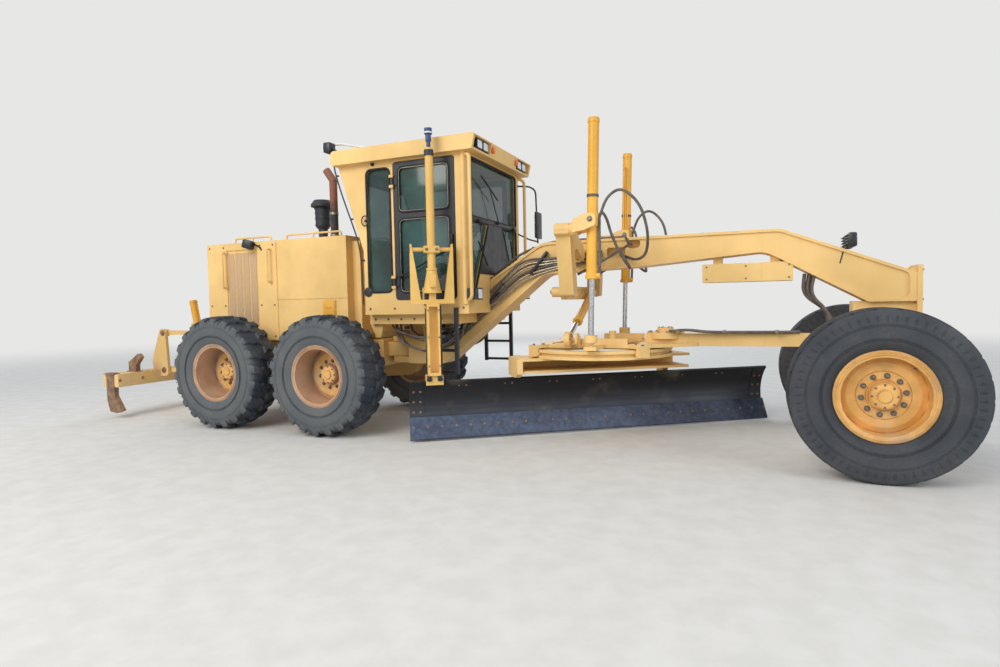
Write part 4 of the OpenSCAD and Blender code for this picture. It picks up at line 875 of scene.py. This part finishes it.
class GRADER_OT_windows(bpy.types.Operator):
    """Adds the rubbers and silver trims round the windows, the wipers and the cover under the windshield."""

    bl_idname = "grader.windows"
    bl_label = "Window rubbers"

    def execute(self, context):
        rubbers = Forge()
        for side, s in SIDES.items():
            y = s * (CAB_SKIN + 0.002)
            rubbers.pipe(side_pane(y, -4.925, -4.62, 1.585, 2.945), 0.013, 0.07, True, 8)
            corner = ((0.64, 2.32), (0.20, 2.32), (0.58, 1.56), (0.64, 1.56))
            rubbers.pipe([at(WINDSHIELD_X, s * a, z) for a, z in corner], 0.012, 0.04, True, 8)
            self.door(side, s, y)
        front = ((-0.64, 2.37), (0.64, 2.37), (0.64, 2.985), (-0.64, 2.985))
        rubbers.pipe([at(WINDSHIELD_X, y, z) for y, z in front], 0.013, 0.05, True, 8)
        slope = 310 / 970
        rear = []
        for y, z in ((-0.58, 2.15), (0.58, 2.15), (0.58, 2.90), (-0.58, 2.90)):
            rear.append(at(-4.99 - (z - 2.05) * slope, y, z))
        rubbers.pipe(rear, 0.013, 0.05, True, 8)
        rubbers.make("window_rubbers", "rubber", "front_frame")
        cover = Forge()
        outline = ((-0.47, 1.76), (0.47, 1.76), (0.185, 2.335), (-0.185, 2.335))
        cover.plate(outline, at(WINDSHIELD_X - 0.004, 0, 0), (0, 1, 0), (0, 0, 1), 0.008)
        cover.block(at(WINDSHIELD_X + 0.004, 0, 2.345), (0.016, 1.30, 0.040), 0.006)
        cover.make("windshield_cover", "black", "front_frame")
        self.wipers()
        return {"FINISHED"}

    def door(self, side, s, y):
        """Rubbers, silver trims, lock and pull handle of one door."""
        door = Forge()
        trim = Forge()
        for z0, z1 in ((1.575, 2.375), (2.45, 2.935)):
            door.pipe(side_pane(y, -4.51, -3.89, z0, z1), 0.012, 0.06, True, 8)
            trim.pipe(side_pane(y * 1.006, -4.50, -3.90, z0 + 0.01, z1 - 0.01), 0.004, 0.055, True, 8)
        door.block(at(-3.865, s * 0.768, 2.11), (0.035, 0.03, 0.14), 0.01)
        skin, grip = s * CAB_SKIN, s * 0.80
        pull = trail((-4.50, skin, 1.74), (-4.50, grip, 1.74), (-3.92, grip, 2.0), (-3.92, skin, 2.0))
        door.pipe(pull, 0.010, 0.04)
        door.make(f"door_rubber_{side}", "rubber", f"door_{side}")
        trim.make(f"door_trim_{side}", "line", f"door_{side}")

    def wipers(self):
        wipers = Forge()
        # Pivot and tip across and up, and half the length of the blade
        arms = (
            ((0.02, 2.36), (-0.22, 2.72), 0.25),
            ((-0.50, 2.33), (-0.43, 1.98), 0.17),
            ((0.50, 2.33), (0.43, 2.02), 0.17),
        )
        for pivot, tip, blade in arms:
            wipers.lathe(at(-3.69, *pivot), (1, 0, 0), ((0, 0.022), (0.03, 0.020), (0.04, 0.012)), 20)
            start, end = at(-3.655, *pivot), at(-3.655, *tip)
            wipers.pipe((start, end), 0.006)
            way = (end - start).normalized()
            side = Vector((0, -way.z, way.y))
            lean = (side + way * 1.6).normalized()
            wipers.pipe((end - lean * blade, end + lean * blade), 0.008)
        wipers.make("wipers", "rubber", "front_frame")


class GRADER_OT_cab(bpy.types.Operator):
    """Adds rails, mirror, antenna, work lamp, cables and bolts to the cab, and what hangs under its floor."""

    bl_idname = "grader.cab"
    bl_label = "Cab fittings"

    def execute(self, context):
        self.rails()
        self.black_fittings()
        self.roof_fittings()
        self.bolts()
        self.underfloor()
        return {"FINISHED"}

    def rails(self):
        rails = Forge()
        for s in (-1, 1):
            skin, y = s * 0.745, s * 0.80
            corner = trail((-3.70, skin, 3.00), (-3.625, y, 2.97), (-3.625, y, 1.50), (-3.70, skin, 1.47))
            rails.pipe(corner, 0.019, 0.05, sides=16)
            rails.pipe(trail((-4.20, skin, 1.42), (-4.20, y, 1.44), (-4.20, y, 1.62)), 0.012, 0.03)
        rails.make("cab_rails", "yellow", "front_frame")

    def black_fittings(self):
        """Mirror, plugs, coiled cable, work lamp's case and the cable down the rear corner."""
        black = Forge()
        mirror_arm = trail((-3.69, 0.73, 2.90), (-3.60, 0.93, 2.92), (-3.55, 1.02, 2.88), (-3.53, 1.02, 2.20))
        black.pipe(mirror_arm, 0.011, 0.06)
        black.pipe(trail((-3.69, 0.73, 2.30), (-3.60, 0.90, 2.24), (-3.53, 1.02, 2.22)), 0.010, 0.04)
        black.block(at(-3.525, 1.035, 2.43), (0.034, 0.20, 0.34), 0.016)
        black.lathe(at(-4.94, -CAB_SKIN, 1.59), (0, -1, 0), ((0, 0.055), (0.010, 0.053), (0.014, 0.04)), 32)
        black.lathe(at(-4.937, -CAB_SKIN, 2.384), (0, -1, 0), ((0, 0.014), (0.03, 0.012)), 16)
        black.lathe(at(-4.834, -CAB_SKIN, 3.0), (0, -1, 0), ((0, 0.018), (0.02, 0.018), (0.034, 0.01)), 16)
        coil = [at(-4.937 + 0.045 * math.cos(a), -0.785, 2.384 + 0.06 * math.sin(a)) for a in spokes(8)]
        black.pipe(coil, 0.007, 0.03, closed=True)
        black.block(at(-5.455, -0.70, 3.262), (0.10, 0.12, 0.12), 0.02)
        black.pipe(trail((-5.40, -0.70, 3.25), (-5.33, -0.70, 3.19)), 0.014)
        cable = trail(
            (-5.34, -0.72, 3.17), (-5.36, -0.765, 3.05), (-5.27, -0.765, 2.75), (-5.02, -0.765, 2.10),
            (-5.0, -0.765, 1.45),
        )
        black.pipe(cable, 0.009, 0.2)
        for x, z in ((-5.308, 2.92), (-5.128, 2.42), (-4.993, 1.95)):
            black.block(at(x, -0.757, z), (0.035, 0.014, 0.02), 0.004)
        black.make("cab_black_fittings", "black", "front_frame")
        glass = Forge()
        glass.block(at(-3.546, 1.035, 2.43), (0.006, 0.17, 0.31), 0.002)
        glass.make("mirror_glass", "mirror", "front_frame")

    def roof_fittings(self):
        """Antenna tube and the work lamp's lens."""
        antenna = Forge()
        y = -0.62
        antenna.pipe(trail((-5.44, y, 3.318), (-5.34, y, 3.315), (-4.86, y, 3.200)), 0.014, 0.06, sides=14)
        antenna.lathe(at(-4.90, y, 3.216), -UP, ((0, 0.02), (0.05, 0.024)), 16)
        antenna.make("antenna_tube", "white", "front_frame")
        lens = Forge()
        lens.block(at(-5.51, -0.70, 3.262), (0.014, 0.09, 0.09), 0.006)
        lens.make("rear_work_lens", "lens", "front_frame")

    def bolts(self):
        bolts = Forge()
        for s in (-1, 1):
            for i in range(7):
                bolts.bolt(at(-4.93 + i * 0.17, s * 0.64, 1.28), (0, s, 0), 0.011)
            for x in (-4.92, -4.60, -4.15, -3.75):
                bolts.bolt(at(x, s * CAB_SKIN, 1.40), (0, s, 0), 0.010)
            for x in (-3.9, -4.3, -4.8):
                bolts.bolt(at(x, s * 0.77, 3.178), UP, 0.010)
        bolts.make("cab_bolts", "nut", "front_frame")

    def underfloor(self):
        """Canister and boxes under the floor, with hoses and lines that sag beside the hitch."""
        gear = Forge()
        canister = ((0, 0.0), (0.01, 0.06), (0.04, 0.072), (0.26, 0.072), (0.29, 0.06), (0.30, 0.0))
        gear.lathe(at(-4.38, -0.42, 1.06), (1, 0, 0), canister, 32)
        gear.block(at(-4.23, -0.36, 1.12), (0.05, 0.10, 0.16), 0.01)
        gear.block(at(-4.62, 0.40, 1.08), (0.24, 0.20, 0.22), 0.02)
        gear.make("underfloor_canister", "black", "front_frame")
        chance = random.Random(11)
        tangles = {"hose": Forge(), "line": Forge()}
        radii = {"hose": 0.013, "line": 0.008}
        hitch_half = 0.20
        for i in range(16):
            kind = "line" if i % 4 == 3 else "hose"
            y = -0.52 + 0.066 * i
            x0 = -4.80 + chance.uniform(-0.06, 0.10)
            x1 = -3.98 + chance.uniform(-0.10, 0.10)
            dip = 0.86 + chance.uniform(0, 0.20)
            low_y = y + chance.uniform(-0.08, 0.08)
            run = trail(
                (x0, y, 1.215), (x0 + 0.04, y, dip + 0.10), ((x0 + x1) / 2, low_y, dip),
                (x1 - 0.05, y, dip + 0.14), (x1, y, 1.225),
            )
            if abs(y) > hitch_half:
                tangles[kind].pipe(run, radii[kind], 0.14)
        for kind, forge in tangles.items():
            forge.make(f"underfloor_{kind}s", kind, "front_frame")


class GRADER_OT_lamps(bpy.types.Operator):
    """Adds lenses, bezels and indicators to the lamps, and the lamps on the front slope of the beam."""

    bl_idname = "grader.lamps"
    bl_label = "Lamps"

    def execute(self, context):
        lens = Forge()
        amber = Forge()
        case = Forge()
        brow = highest("cab_roof").x - 0.024
        face = highest("lamps").x
        for s in (-1, 1):
            for y in (0.495, 0.645):
                lens.block((brow, MID_Y + s * y, 3.10), (0.012, 0.108, 0.078), 0.005)
            amber.block(at(-3.545, s * 0.345, 3.10), (0.030, 0.045, 0.070), 0.008)
            lens.block((face + 0.004, MID_Y + s * 0.72, 1.54), (0.012, 0.098, 0.098), 0.005)
            case.block((face + 0.001, MID_Y + s * 0.72, 1.54), (0.010, 0.126, 0.126), 0.008)
            y = s * 0.13
            case.pipe(trail((-0.20, y, 1.74), (-0.17, y, 1.86), (-0.13, y, 1.90)), 0.014, 0.03)
            case.block(at(-0.105, y, 1.95), (0.075, 0.15, 0.13), 0.018)
            for k in range(4):
                case.block(at(-0.150, y, 1.91 + 0.026 * k), (0.02, 0.13, 0.006), 0.002)
            lens.block(at(-0.066, y, 1.95), (0.010, 0.126, 0.106), 0.005)
        case.make("lamp_cases", "black", "front_frame")
        lens.make("lamp_lenses", "lens", "front_frame")
        amber.make("indicator_lenses", "amber", "front_frame")
        return {"FINISHED"}


def cushion(name, mid, size, crown, finish, body):
    """Padded block that is full in the middle of each face."""
    bm = bmesh.new()
    made = bmesh.ops.create_cube(bm, size=1.0)
    bmesh.ops.subdivide_edges(bm, edges=list(bm.edges), cuts=7, use_grid_fill=True)
    for v in bm.verts:
        u = v.co * 2
        spot = []
        for i in range(3):
            a, b = u[(i + 1) % 3], u[(i + 2) % 3]
            full = u[i] * (1 - 0.55 * abs(a) ** 3 * abs(b) ** 3)
            face = 1 if u[i] > 0.9 else -1 if u[i] < -0.9 else 0
            swell = crown * (1 - a ** 2) * (1 - b ** 2) * face
            spot.append(mid[i] + full * (size[i] / 2 - crown) + swell)
        v.co = spot
    mesh = bpy.data.meshes.new(name)
    bm.to_mesh(mesh)
    bm.free()
    mesh.polygons.foreach_set("use_smooth", [True] * len(mesh.polygons))
    mesh.materials.append(FINISHES[finish])
    piece = bpy.data.objects.new(name, mesh)
    bpy.context.scene.collection.objects.link(piece)
    piece.modifiers.new("soft", "SUBSURF").render_levels = 2
    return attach(piece, body)


class GRADER_OT_seat(bpy.types.Operator):
    """Puts padded cushions, a pedestal and armrests in the place of the plain seat."""

    bl_idname = "grader.seat"
    bl_label = "Seat"

    def execute(self, context):
        base = cushion("seat_cushion", at(-4.565, 0, 1.872), (0.49, 0.50, 0.13), 0.014, "seat", "front_frame")
        back = cushion("seat_back", at(-4.808, 0, 2.235), (0.11, 0.48, 0.62), 0.012, "seat", "front_frame")
        pedestal = Forge()
        for z in (1.50, 1.57, 1.64, 1.71, 1.78):
            pedestal.block(at(-4.60, 0, z), (0.22 - 0.03 * ((z * 100) % 2), 0.30, 0.05), 0.02)
        pedestal.block(at(-4.59, 0, 1.81), (0.46, 0.46, 0.02), 0.006)
        for s in (-1, 1):
            armrest = trail((-4.84, s * 0.23, 2.05), (-4.80, s * 0.235, 2.07), (-4.50, s * 0.235, 2.05))
            pedestal.pipe(armrest, 0.018, 0.04)
        hoop = trail((-4.86, -0.16, 1.84), (-4.866, -0.16, 2.45), (-4.866, 0.16, 2.45), (-4.86, 0.16, 1.84))
        pedestal.pipe(hoop, 0.012, 0.05)
        made = pedestal.make("seat_pedestal", "black", "front_frame")
        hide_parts("seat")
        return {"FINISHED"}


class GRADER_OT_lines(bpy.types.Operator):
    """Adds the steel lines and hoses along the gooseneck and the beam, with their straps."""

    bl_idname = "grader.lines"
    bl_label = "Beam lines"

    def execute(self, context):
        steel = Forge()
        hoses = Forge()
        straps = Forge()
        for s in (-1, 1):
            self.gooseneck(s, steel, hoses, straps)
            self.loops(s, hoses)
        top_hose = trail(
            (-3.74, -0.05, 1.71), (-3.40, -0.05, 1.975), (-3.0, -0.05, 2.105), (-2.2, -0.06, 2.105),
            (-2.15, -0.16, 2.09), (-2.12, -0.175, 2.03),
        )
        hoses.pipe(top_hose, 0.015, 0.16)
        top_line = trail((-3.74, 0.04, 1.71), (-3.40, 0.04, 1.965), (-3.0, 0.04, 2.098), (-1.0, 0.04, 2.098))
        steel.pipe(top_line, 0.008, 0.2)
        for x in (-3.2, -2.75, -2.4, -1.9, -1.4):
            straps.block(at(x, -0.005, 2.094 if x > -3.1 else 2.05), (0.03, 0.15, 0.012), 0.003)
        straps.block(at(-0.235, 0, 1.17), (0.06, 0.26, 0.07), 0.008)
        steel.make("beam_steel_lines", "line", "front_frame")
        hoses.make("beam_hoses", "hose", "front_frame")
        straps.make("beam_straps", "black", "front_frame")
        bolts = Forge()
        for s in (-1, 1):
            for z in (0.95, 1.20, 1.40, 1.66):
                bolts.bolt(at(0.44, s * 0.14, z), (1, 0, 0), 0.010)
            for x in (-1.36, -1.0, -0.62):
                for z in (1.63, 1.75):
                    bolts.bolt(at(x, s * 0.15, z), (0, s, 0), 0.007)
        bolts.make("beam_bolts", "nut", "front_frame")
        return {"FINISHED"}

    def gooseneck(self, s, steel, hoses, straps):
        """Six lines up the side of the gooseneck, every third one a hose, under three straps."""
        for i in range(6):
            lift = 0.045 * i
            y = s * (0.178 + 0.012 * (i % 2))
            run = trail(
                (-4.42, y, 0.86 + lift), (-4.20 + lift * 0.3, y, 0.95 + lift), (-3.28, y, 1.69 + lift),
                (-2.95, y, 1.79 + lift * 0.5), (-2.40, y * 0.93, 1.87 + lift * 0.4),
            )
            if i % 3 == 2:
                hoses.pipe(run, 0.014, 0.16)
            else:
                steel.pipe(run, 0.011, 0.16)
        for x, z in ((-4.0, 1.235), (-3.62, 1.54), (-3.10, 1.865)):
            straps.block(at(x, s * 0.184, z), (0.03, 0.056, 0.31), 0.006, 0.0, 0.68)

    def loops(self, s, hoses):
        """Free loops from the beam towards the cylinders, and the bundle that drops to the drawbar."""
        bend = 0.12
        high_loop = (
            (-2.17, 0.13, 1.90), (-2.02, 0.30, 1.84), (-1.88, 0.52, 1.88), (-1.84, 0.66, 2.08),
            (-1.90, 0.74, 2.34), (-2.06, 0.79, 2.50), (-2.20, 0.81, 2.42), (-2.27, 0.82, 2.22),
        )
        low_loop = (
            (-2.22, 0.13, 1.95), (-2.10, 0.30, 1.80), (-2.04, 0.48, 1.74), (-2.10, 0.62, 1.86),
            (-2.18, 0.70, 2.06), (-2.22, 0.74, 2.24), (-2.27, 0.76, 2.30),
        )
        for loop in (high_loop, low_loop):
            hoses.pipe([at(x, s * y, z) for x, y, z in loop], 0.014, bend)
        shift_hose = ((-2.10, 0.13, 2.02), (-2.12, 0.25, 2.0), (-2.33, 0.34, 1.86), (-2.62, 0.34, 1.72))
        hoses.pipe([at(x, s * y, z) for x, y, z in shift_hose], 0.013, bend)
        for i in range(3):
            y = s * (0.05 + 0.03 * i)
            drop = trail(
                (-0.48 + 0.04 * i, y, 1.66), (-0.50 + 0.03 * i, y, 1.46), (-0.30, y, 1.32),
                (-0.22 - 0.02 * i, y, 1.17),
            )
            hoses.pipe(drop, 0.014, bend)


class GRADER_OT_lift(bpy.types.Operator):
    """Adds bolts to the lift arms, and glands, pipes and eyes to the lift and centre-shift cylinders."""

    bl_idname = "grader.lift"
    bl_label = "Lift fittings"

    def execute(self, context):
        nuts = Forge()
        for s in (-1, 1):
            for a in spokes(6):
                spot = at(-2.665 + 0.058 * math.cos(a), s * 0.26, 1.935 + 0.058 * math.sin(a))
                nuts.bolt(spot, (0, s, 0), 0.010)
            x, mid, z = LIFT_PIVOT
            for face in (-1, 1):
                nuts.bolt(at(x, s * (mid + face * 0.111), z), (0, s * face, 0), 0.020)
            nuts.bolt(at(-2.50, s * 0.70, 2.15), (1, 0, 0), 0.024)
            nuts.bolt(at(-2.84, s * 0.51, 1.54), (-1, 0, 0), 0.022)
        nuts.make("lift_arm_bolts", "nut", "front_frame")
        for side, s in SIDES.items():
            self.cylinder(side, s)
        self.shift_cylinder()
        return {"FINISHED"}

    def cylinder(self, side, s):
        """Gland, cap, pipes, hose and rod socket of one lift cylinder."""
        way = LIFT_WAY
        pivot = at(LIFT_PIVOT[0], s * LIFT_PIVOT[1], LIFT_PIVOT[2])
        gland = Forge()
        low_end = (
            (0.525, 0.054), (0.525, 0.062), (0.556, 0.062), (0.560, 0.050), (0.560, 0.030), (0.550, 0.030),
        )
        high_end = ((-0.954, 0.030), (-0.954, 0.048), (-0.935, 0.057), (-0.91, 0.057), (-0.905, 0.052))
        gland.lathe(pivot, way, low_end, 40)
        gland.lathe(pivot, way, high_end, 40)
        for k in range(3):
            start = pivot + way * (-0.80 + 0.012 * k) + Vector((0.02 * k - 0.02, -s * 0.060, 0))
            gland.pipe((start, start + way * (1.20 - 0.1 * k)), 0.007)
        port = pivot + way * 0.53
        gland.lathe(port, (1, 0, 0), ((0.045, 0.028), (0.082, 0.028), (0.086, 0.020)), 24)
        gland.make(f"lift_gland_{side}", "cylinder", f"lift_barrel_{side}")
        line = Forge()
        outlet = port + Vector((0.075, 0, 0))
        bend = pivot + Vector((0.07, s * 0.02, -0.30))
        line.pipe((outlet, outlet - way * 0.06, bend, bend + UP * 0.31), 0.014, 0.05)
        line.band(pivot, way, -0.24, -0.215, 0.0525, 0.057, 40)
        line.make(f"lift_hose_{side}", "hose", f"lift_barrel_{side}")
        socket = Forge()
        casting = ((-0.076, 0.030), (-0.073, 0.0632), (-0.002, 0.0632), (0.0, 0.052))
        socket.lathe(pivot + LIFT_RUN, way, casting, 36)
        socket.make(f"lift_socket_{side}", "old_yellow", f"lift_rod_{side}")

    def shift_cylinder(self):
        """Gland and eye ring of the cylinder that pulls the drawbar sideways."""
        top, eye = trail((-2.655, 0.33, 1.50), (-2.655, -0.60, 1.06))
        run = (eye - top).normalized()
        gland = Forge()
        rod_end = (
            (0.612, 0.046), (0.612, 0.053), (0.643, 0.053), (0.646, 0.040), (0.646, 0.028), (0.636, 0.028),
        )
        gland.lathe(top, run, rod_end, 36)
        gland.lathe(top, run, ((0.070, 0.030), (0.070, 0.050), (0.092, 0.050), (0.092, 0.044)), 36)
        gland.make("shift_gland", "cylinder", "shift_barrel")
        ring = Forge()
        ring.band(eye, (1, 0, 0), -0.029, 0.029, 0.0604, 0.0772, 48)
        ring.make("shift_eye_ring", "old_yellow", "shift_rod")


class GRADER_OT_drawbar(bpy.types.Operator):
    """Adds hoses with clamps, housing bolts and shoe bolts to the drawbar."""

    bl_idname = "grader.drawbar"
    bl_label = "Drawbar fittings"

    def execute(self, context):
        hoses = Forge()
        clamps = Forge()
        for i in range(4):
            y = -0.085 - 0.028 * i
            z = 1.104 + 0.004 * (i % 2)
            run = trail(
                (-0.52, y * 0.5, z), (-0.80, y * 0.8, z), (-1.35, y, z), (-1.55, y - 0.05, z + 0.03),
                (-1.72, -0.15 - 0.02 * i, 1.12),
            )
            hoses.pipe(run, 0.012, 0.18)
        for x in (-0.72, -1.20):
            clamps.block(at(x, -0.095, 1.108), (0.035, 0.15, 0.034), 0.006)
        # Centre, radius and height of a ring of bolts, their number, first angle and size
        circles = (
            (DRIVE_HOUSING_X, 0.165, 1.105, 12, 12, 0.011), (DRIVE_HOUSING_X, 0.062, 1.15, 6, 0, 0.008),
            (CIRCLE_X, 0.56, 0.995, 4, 45, 0.014), (CIRCLE_X, 0.68, 0.995, 4, 45, 0.014),
            (CIRCLE_X, 0.79, 0.995, 4, 45, 0.014),
        )
        for x, radius, z, count, first, size in circles:
            for a in spokes(count, math.radians(first)):
                clamps.bolt(at(x + radius * math.cos(a), radius * math.sin(a), z), UP, size)
        hoses.make("drawbar_hoses", "hose", "drawbar")
        clamps.make("drawbar_bolts", "nut", "drawbar")
        return {"FINISHED"}


class GRADER_OT_blade(bpy.types.Operator):
    """Adds the bolts of the cutting edge, the end bits, the moldboard's rails and the carriers."""

    bl_idname = "grader.blade"
    bl_label = "Blade bolts"

    def execute(self, context):
        bolts = Forge()
        square_to_edge = blade_way(0, -0.902, 0.432)
        plough = ((-0.004, 0.013), (0.003, 0.012), (0.005, 0.008))
        for i in range(28):
            bolts.lathe(on_blade(-2.03 + 0.152 * i, 0.111, 0.150), square_to_edge, plough, 14)
        end_head = ((-0.004, 0.014), (0.004, 0.013), (0.007, 0.008))
        for end, inward in ((BLADE_ENDS[0], 1), (BLADE_ENDS[1], -1)):
            for x in (0.045, 0.115):
                for angle in (-4, 10, 25):
                    self.rivet(bolts, end + inward * x, angle, end_head)
        rail_head = ((-0.004, 0.011), (0.003, 0.010), (0.005, 0.006))
        for i in range(7):
            for pair in (-0.04, 0.04):
                self.rivet(bolts, -1.5 + 0.5 * i + pair, 33, rail_head)
        bolts.make("blade_bolts", "shank", "blade")
        backs = Forge()
        for s in (-1, 1):
            for along in (-0.02, 0.02):
                for z in (0.22, 0.41):
                    backs.bolt(on_blade(s * 0.936 + along, 0.385, z), blade_way(0, 1, 0), 0.012)
        backs.make("carrier_bolts", "nut", "blade_carrier")
        return {"FINISHED"}

    def rivet(self, forge, along, angle, head):
        """Round head on the front face of the moldboard."""
        a = math.radians(angle)
        forge.lathe(on_mold(along, angle), blade_way(0, -math.cos(a), -math.sin(a)), head, 14)


class GRADER_OT_mast(bpy.types.Operator):
    """Adds clamps, caps, the rubber strip and the sensor head's bands to the mast."""

    bl_idname = "grader.mast"
    bl_label = "Mast fittings"

    def execute(self, context):
        x, y = MAST
        black = Forge()
        knob = ((0, 0.034), (0.022, 0.034), (0.026, 0.024))
        for s in (-1, 1):
            black.lathe(on_blade(x + s * 0.205, y, 2.005), blade_way(s, 0, 0), knob, 28)
            black.block(on_blade(x + s * 0.055, y - 0.052, 0.672), (0.05, 0.03, 0.06), 0.008, BLADE_TURN)
        black.block(on_blade(x + 0.078, y, 1.08), (0.016, 0.10, 0.70), 0.004, BLADE_TURN)
        black.band(on_blade(x, y, 2.96), UP, 0, 0.06, 0.043, 0.049)
        black.make("mast_black_fittings", "black", "blade")
        collars = Forge()
        collars.block(on_blade(x, y - 0.098, 1.68), (0.07, 0.03, 0.14), 0.008, BLADE_TURN)
        low_collar = ((0, 0.050), (0.004, 0.056), (0.028, 0.056), (0.032, 0.044))
        high_collar = ((-0.03, 0.046), (0.035, 0.046), (0.042, 0.040), (0.042, 0.024))
        collars.lathe(on_blade(x, y, 1.786), UP, low_collar, 36)
        collars.lathe(on_blade(x, y, 3.0), UP, high_collar, 36)
        collars.make("mast_collars", "mast", "blade")
        nuts = Forge()
        front = blade_way(0, -1, 0)
        for s in (-1, 1):
            nuts.bolt(on_blade(x + s * 0.052, y - 0.055, 2.005), front, 0.012)
            nuts.bolt(on_blade(x + s * 0.07, y - 0.042, 0.66), front, 0.012)
            for z in (0.80, 1.10, 1.38):
                nuts.bolt(on_blade(x + s * 0.055, y - 0.065, z), front, 0.007)
            for across in (-0.17, 0.17):
                nuts.bolt(on_blade(x + across, y + s * 0.02, 1.49), UP, 0.010)
        nuts.make("mast_bolts", "nut", "blade")
        band = Forge()
        band.band(on_blade(x, y, 3.188), UP, 0, 0.014, 0.0405, 0.0435)
        band.make("mast_head_band", "white", "mast_rod")
        return {"FINISHED"}


class GRADER_OT_ripper(bpy.types.Operator):
    """Adds pin caps, socket lids, glands and hoses to the ripper."""

    bl_idname = "grader.ripper"
    bl_label = "Ripper fittings"

    def execute(self, context):
        caps = Forge()
        fixed = Forge()
        bar_pin = ((-0.001, 0.042), (0.008, 0.040), (0.012, 0.026))
        frame_pin = ((-0.001, 0.038), (0.008, 0.036), (0.012, 0.024))
        for s in (-1, 1):
            out = (0, s, 0)
            for z in (0.585, 1.11):
                caps.lathe(at(-8.63, s * 0.47, z), out, bar_pin, 28)
                caps.bolt(at(-8.63, s * 0.482, z), out, 0.010)
                fixed.lathe(at(-7.84, s * 0.465, z), out, frame_pin, 28)
        for y in (-1.075, -0.75, 0, 1.075):
            caps.block(at(-8.855, y, 0.594), (0.19, 0.10, 0.012), 0.003)
            caps.bolt(at(-8.70, y, 0.51), (1, 0, 0), 0.014)
        caps.make("ripper_caps", "shank", "ripper")
        fixed.make("ripper_pivot_caps", "shank", "rear_frame")
        self.cylinders()
        return {"FINISHED"}

    def cylinders(self):
        """Glands, pipes and hoses of the two ripper cylinders."""
        glands = Forge()
        hoses = Forge()
        rod_end = (
            (0.205, 0.051), (0.205, 0.058), (0.233, 0.058), (0.236, 0.044), (0.236, 0.027), (0.226, 0.027),
        )
        high_end = ((-0.365, 0.024), (-0.365, 0.040), (-0.352, 0.053), (-0.33, 0.053), (-0.325, 0.049))
        for s in (-1, 1):
            top, foot = trail((-8.134, s * 0.30, 1.20), (-8.01, s * 0.30, 0.585))
            way = (foot - top).normalized()
            glands.lathe(top, way, rod_end, 36)
            glands.lathe(top, way, high_end, 36)
            beside = top + Vector((0.062, 0, 0))
            glands.pipe((beside - way * 0.30, beside + way * 0.18), 0.007)
            for i in range(2):
                y, port = s * (0.20 - 0.05 * i), s * 0.235
                run = trail(
                    (-7.70, y, 1.16), (-7.80, y, 1.26), (-7.98, y, 1.30 - 0.05 * i), (-8.06, port, 1.16),
                    (-8.09, port, 1.02),
                )
                hoses.pipe(run, 0.012, 0.09)
        glands.make("ripper_glands", "cylinder", "ripper_barrels")
        hoses.make("ripper_hoses", "hose", "rear_frame")


class GRADER_PT_panel(bpy.types.Panel):
    """Lists the steps in the sidebar."""

    bl_label = "Motor grader"
    bl_idname = "GRADER_PT_panel"
    bl_space_type = "VIEW_3D"
    bl_region_type = "UI"
    bl_category = "Grader"

    def draw(self, context):
        for group in (context.scene.grader_finish, context.scene.grader_view):
            for key in group.bl_rna.properties.keys():
                if key not in ("rna_type", "name"):
                    self.layout.prop(group, key)
        for step in STEPS:
            self.layout.operator(step.bl_idname)


STEPS = (
    GRADER_OT_stage, GRADER_OT_paint, GRADER_OT_wheels, GRADER_OT_hood, GRADER_OT_windows, GRADER_OT_cab,
    GRADER_OT_lamps, GRADER_OT_seat, GRADER_OT_lines, GRADER_OT_lift, GRADER_OT_drawbar, GRADER_OT_blade,
    GRADER_OT_mast, GRADER_OT_ripper,
)
CLASSES = (FinishSizes, ViewSizes, *STEPS, GRADER_PT_panel)


def register():
    for cls in CLASSES:
        bpy.utils.register_class(cls)
    bpy.types.Scene.grader_finish = bpy.props.PointerProperty(type=FinishSizes)
    bpy.types.Scene.grader_view = bpy.props.PointerProperty(type=ViewSizes)


def unregister():
    del bpy.types.Scene.grader_view
    del bpy.types.Scene.grader_finish
    for cls in reversed(CLASSES):
        bpy.utils.unregister_class(cls)


def main():
    """Runs the steps in order."""
    register()
    for step in STEPS:
        group, name = step.bl_idname.split(".")
        getattr(getattr(bpy.ops, group), name)()


if __name__ == "__main__":
    main()
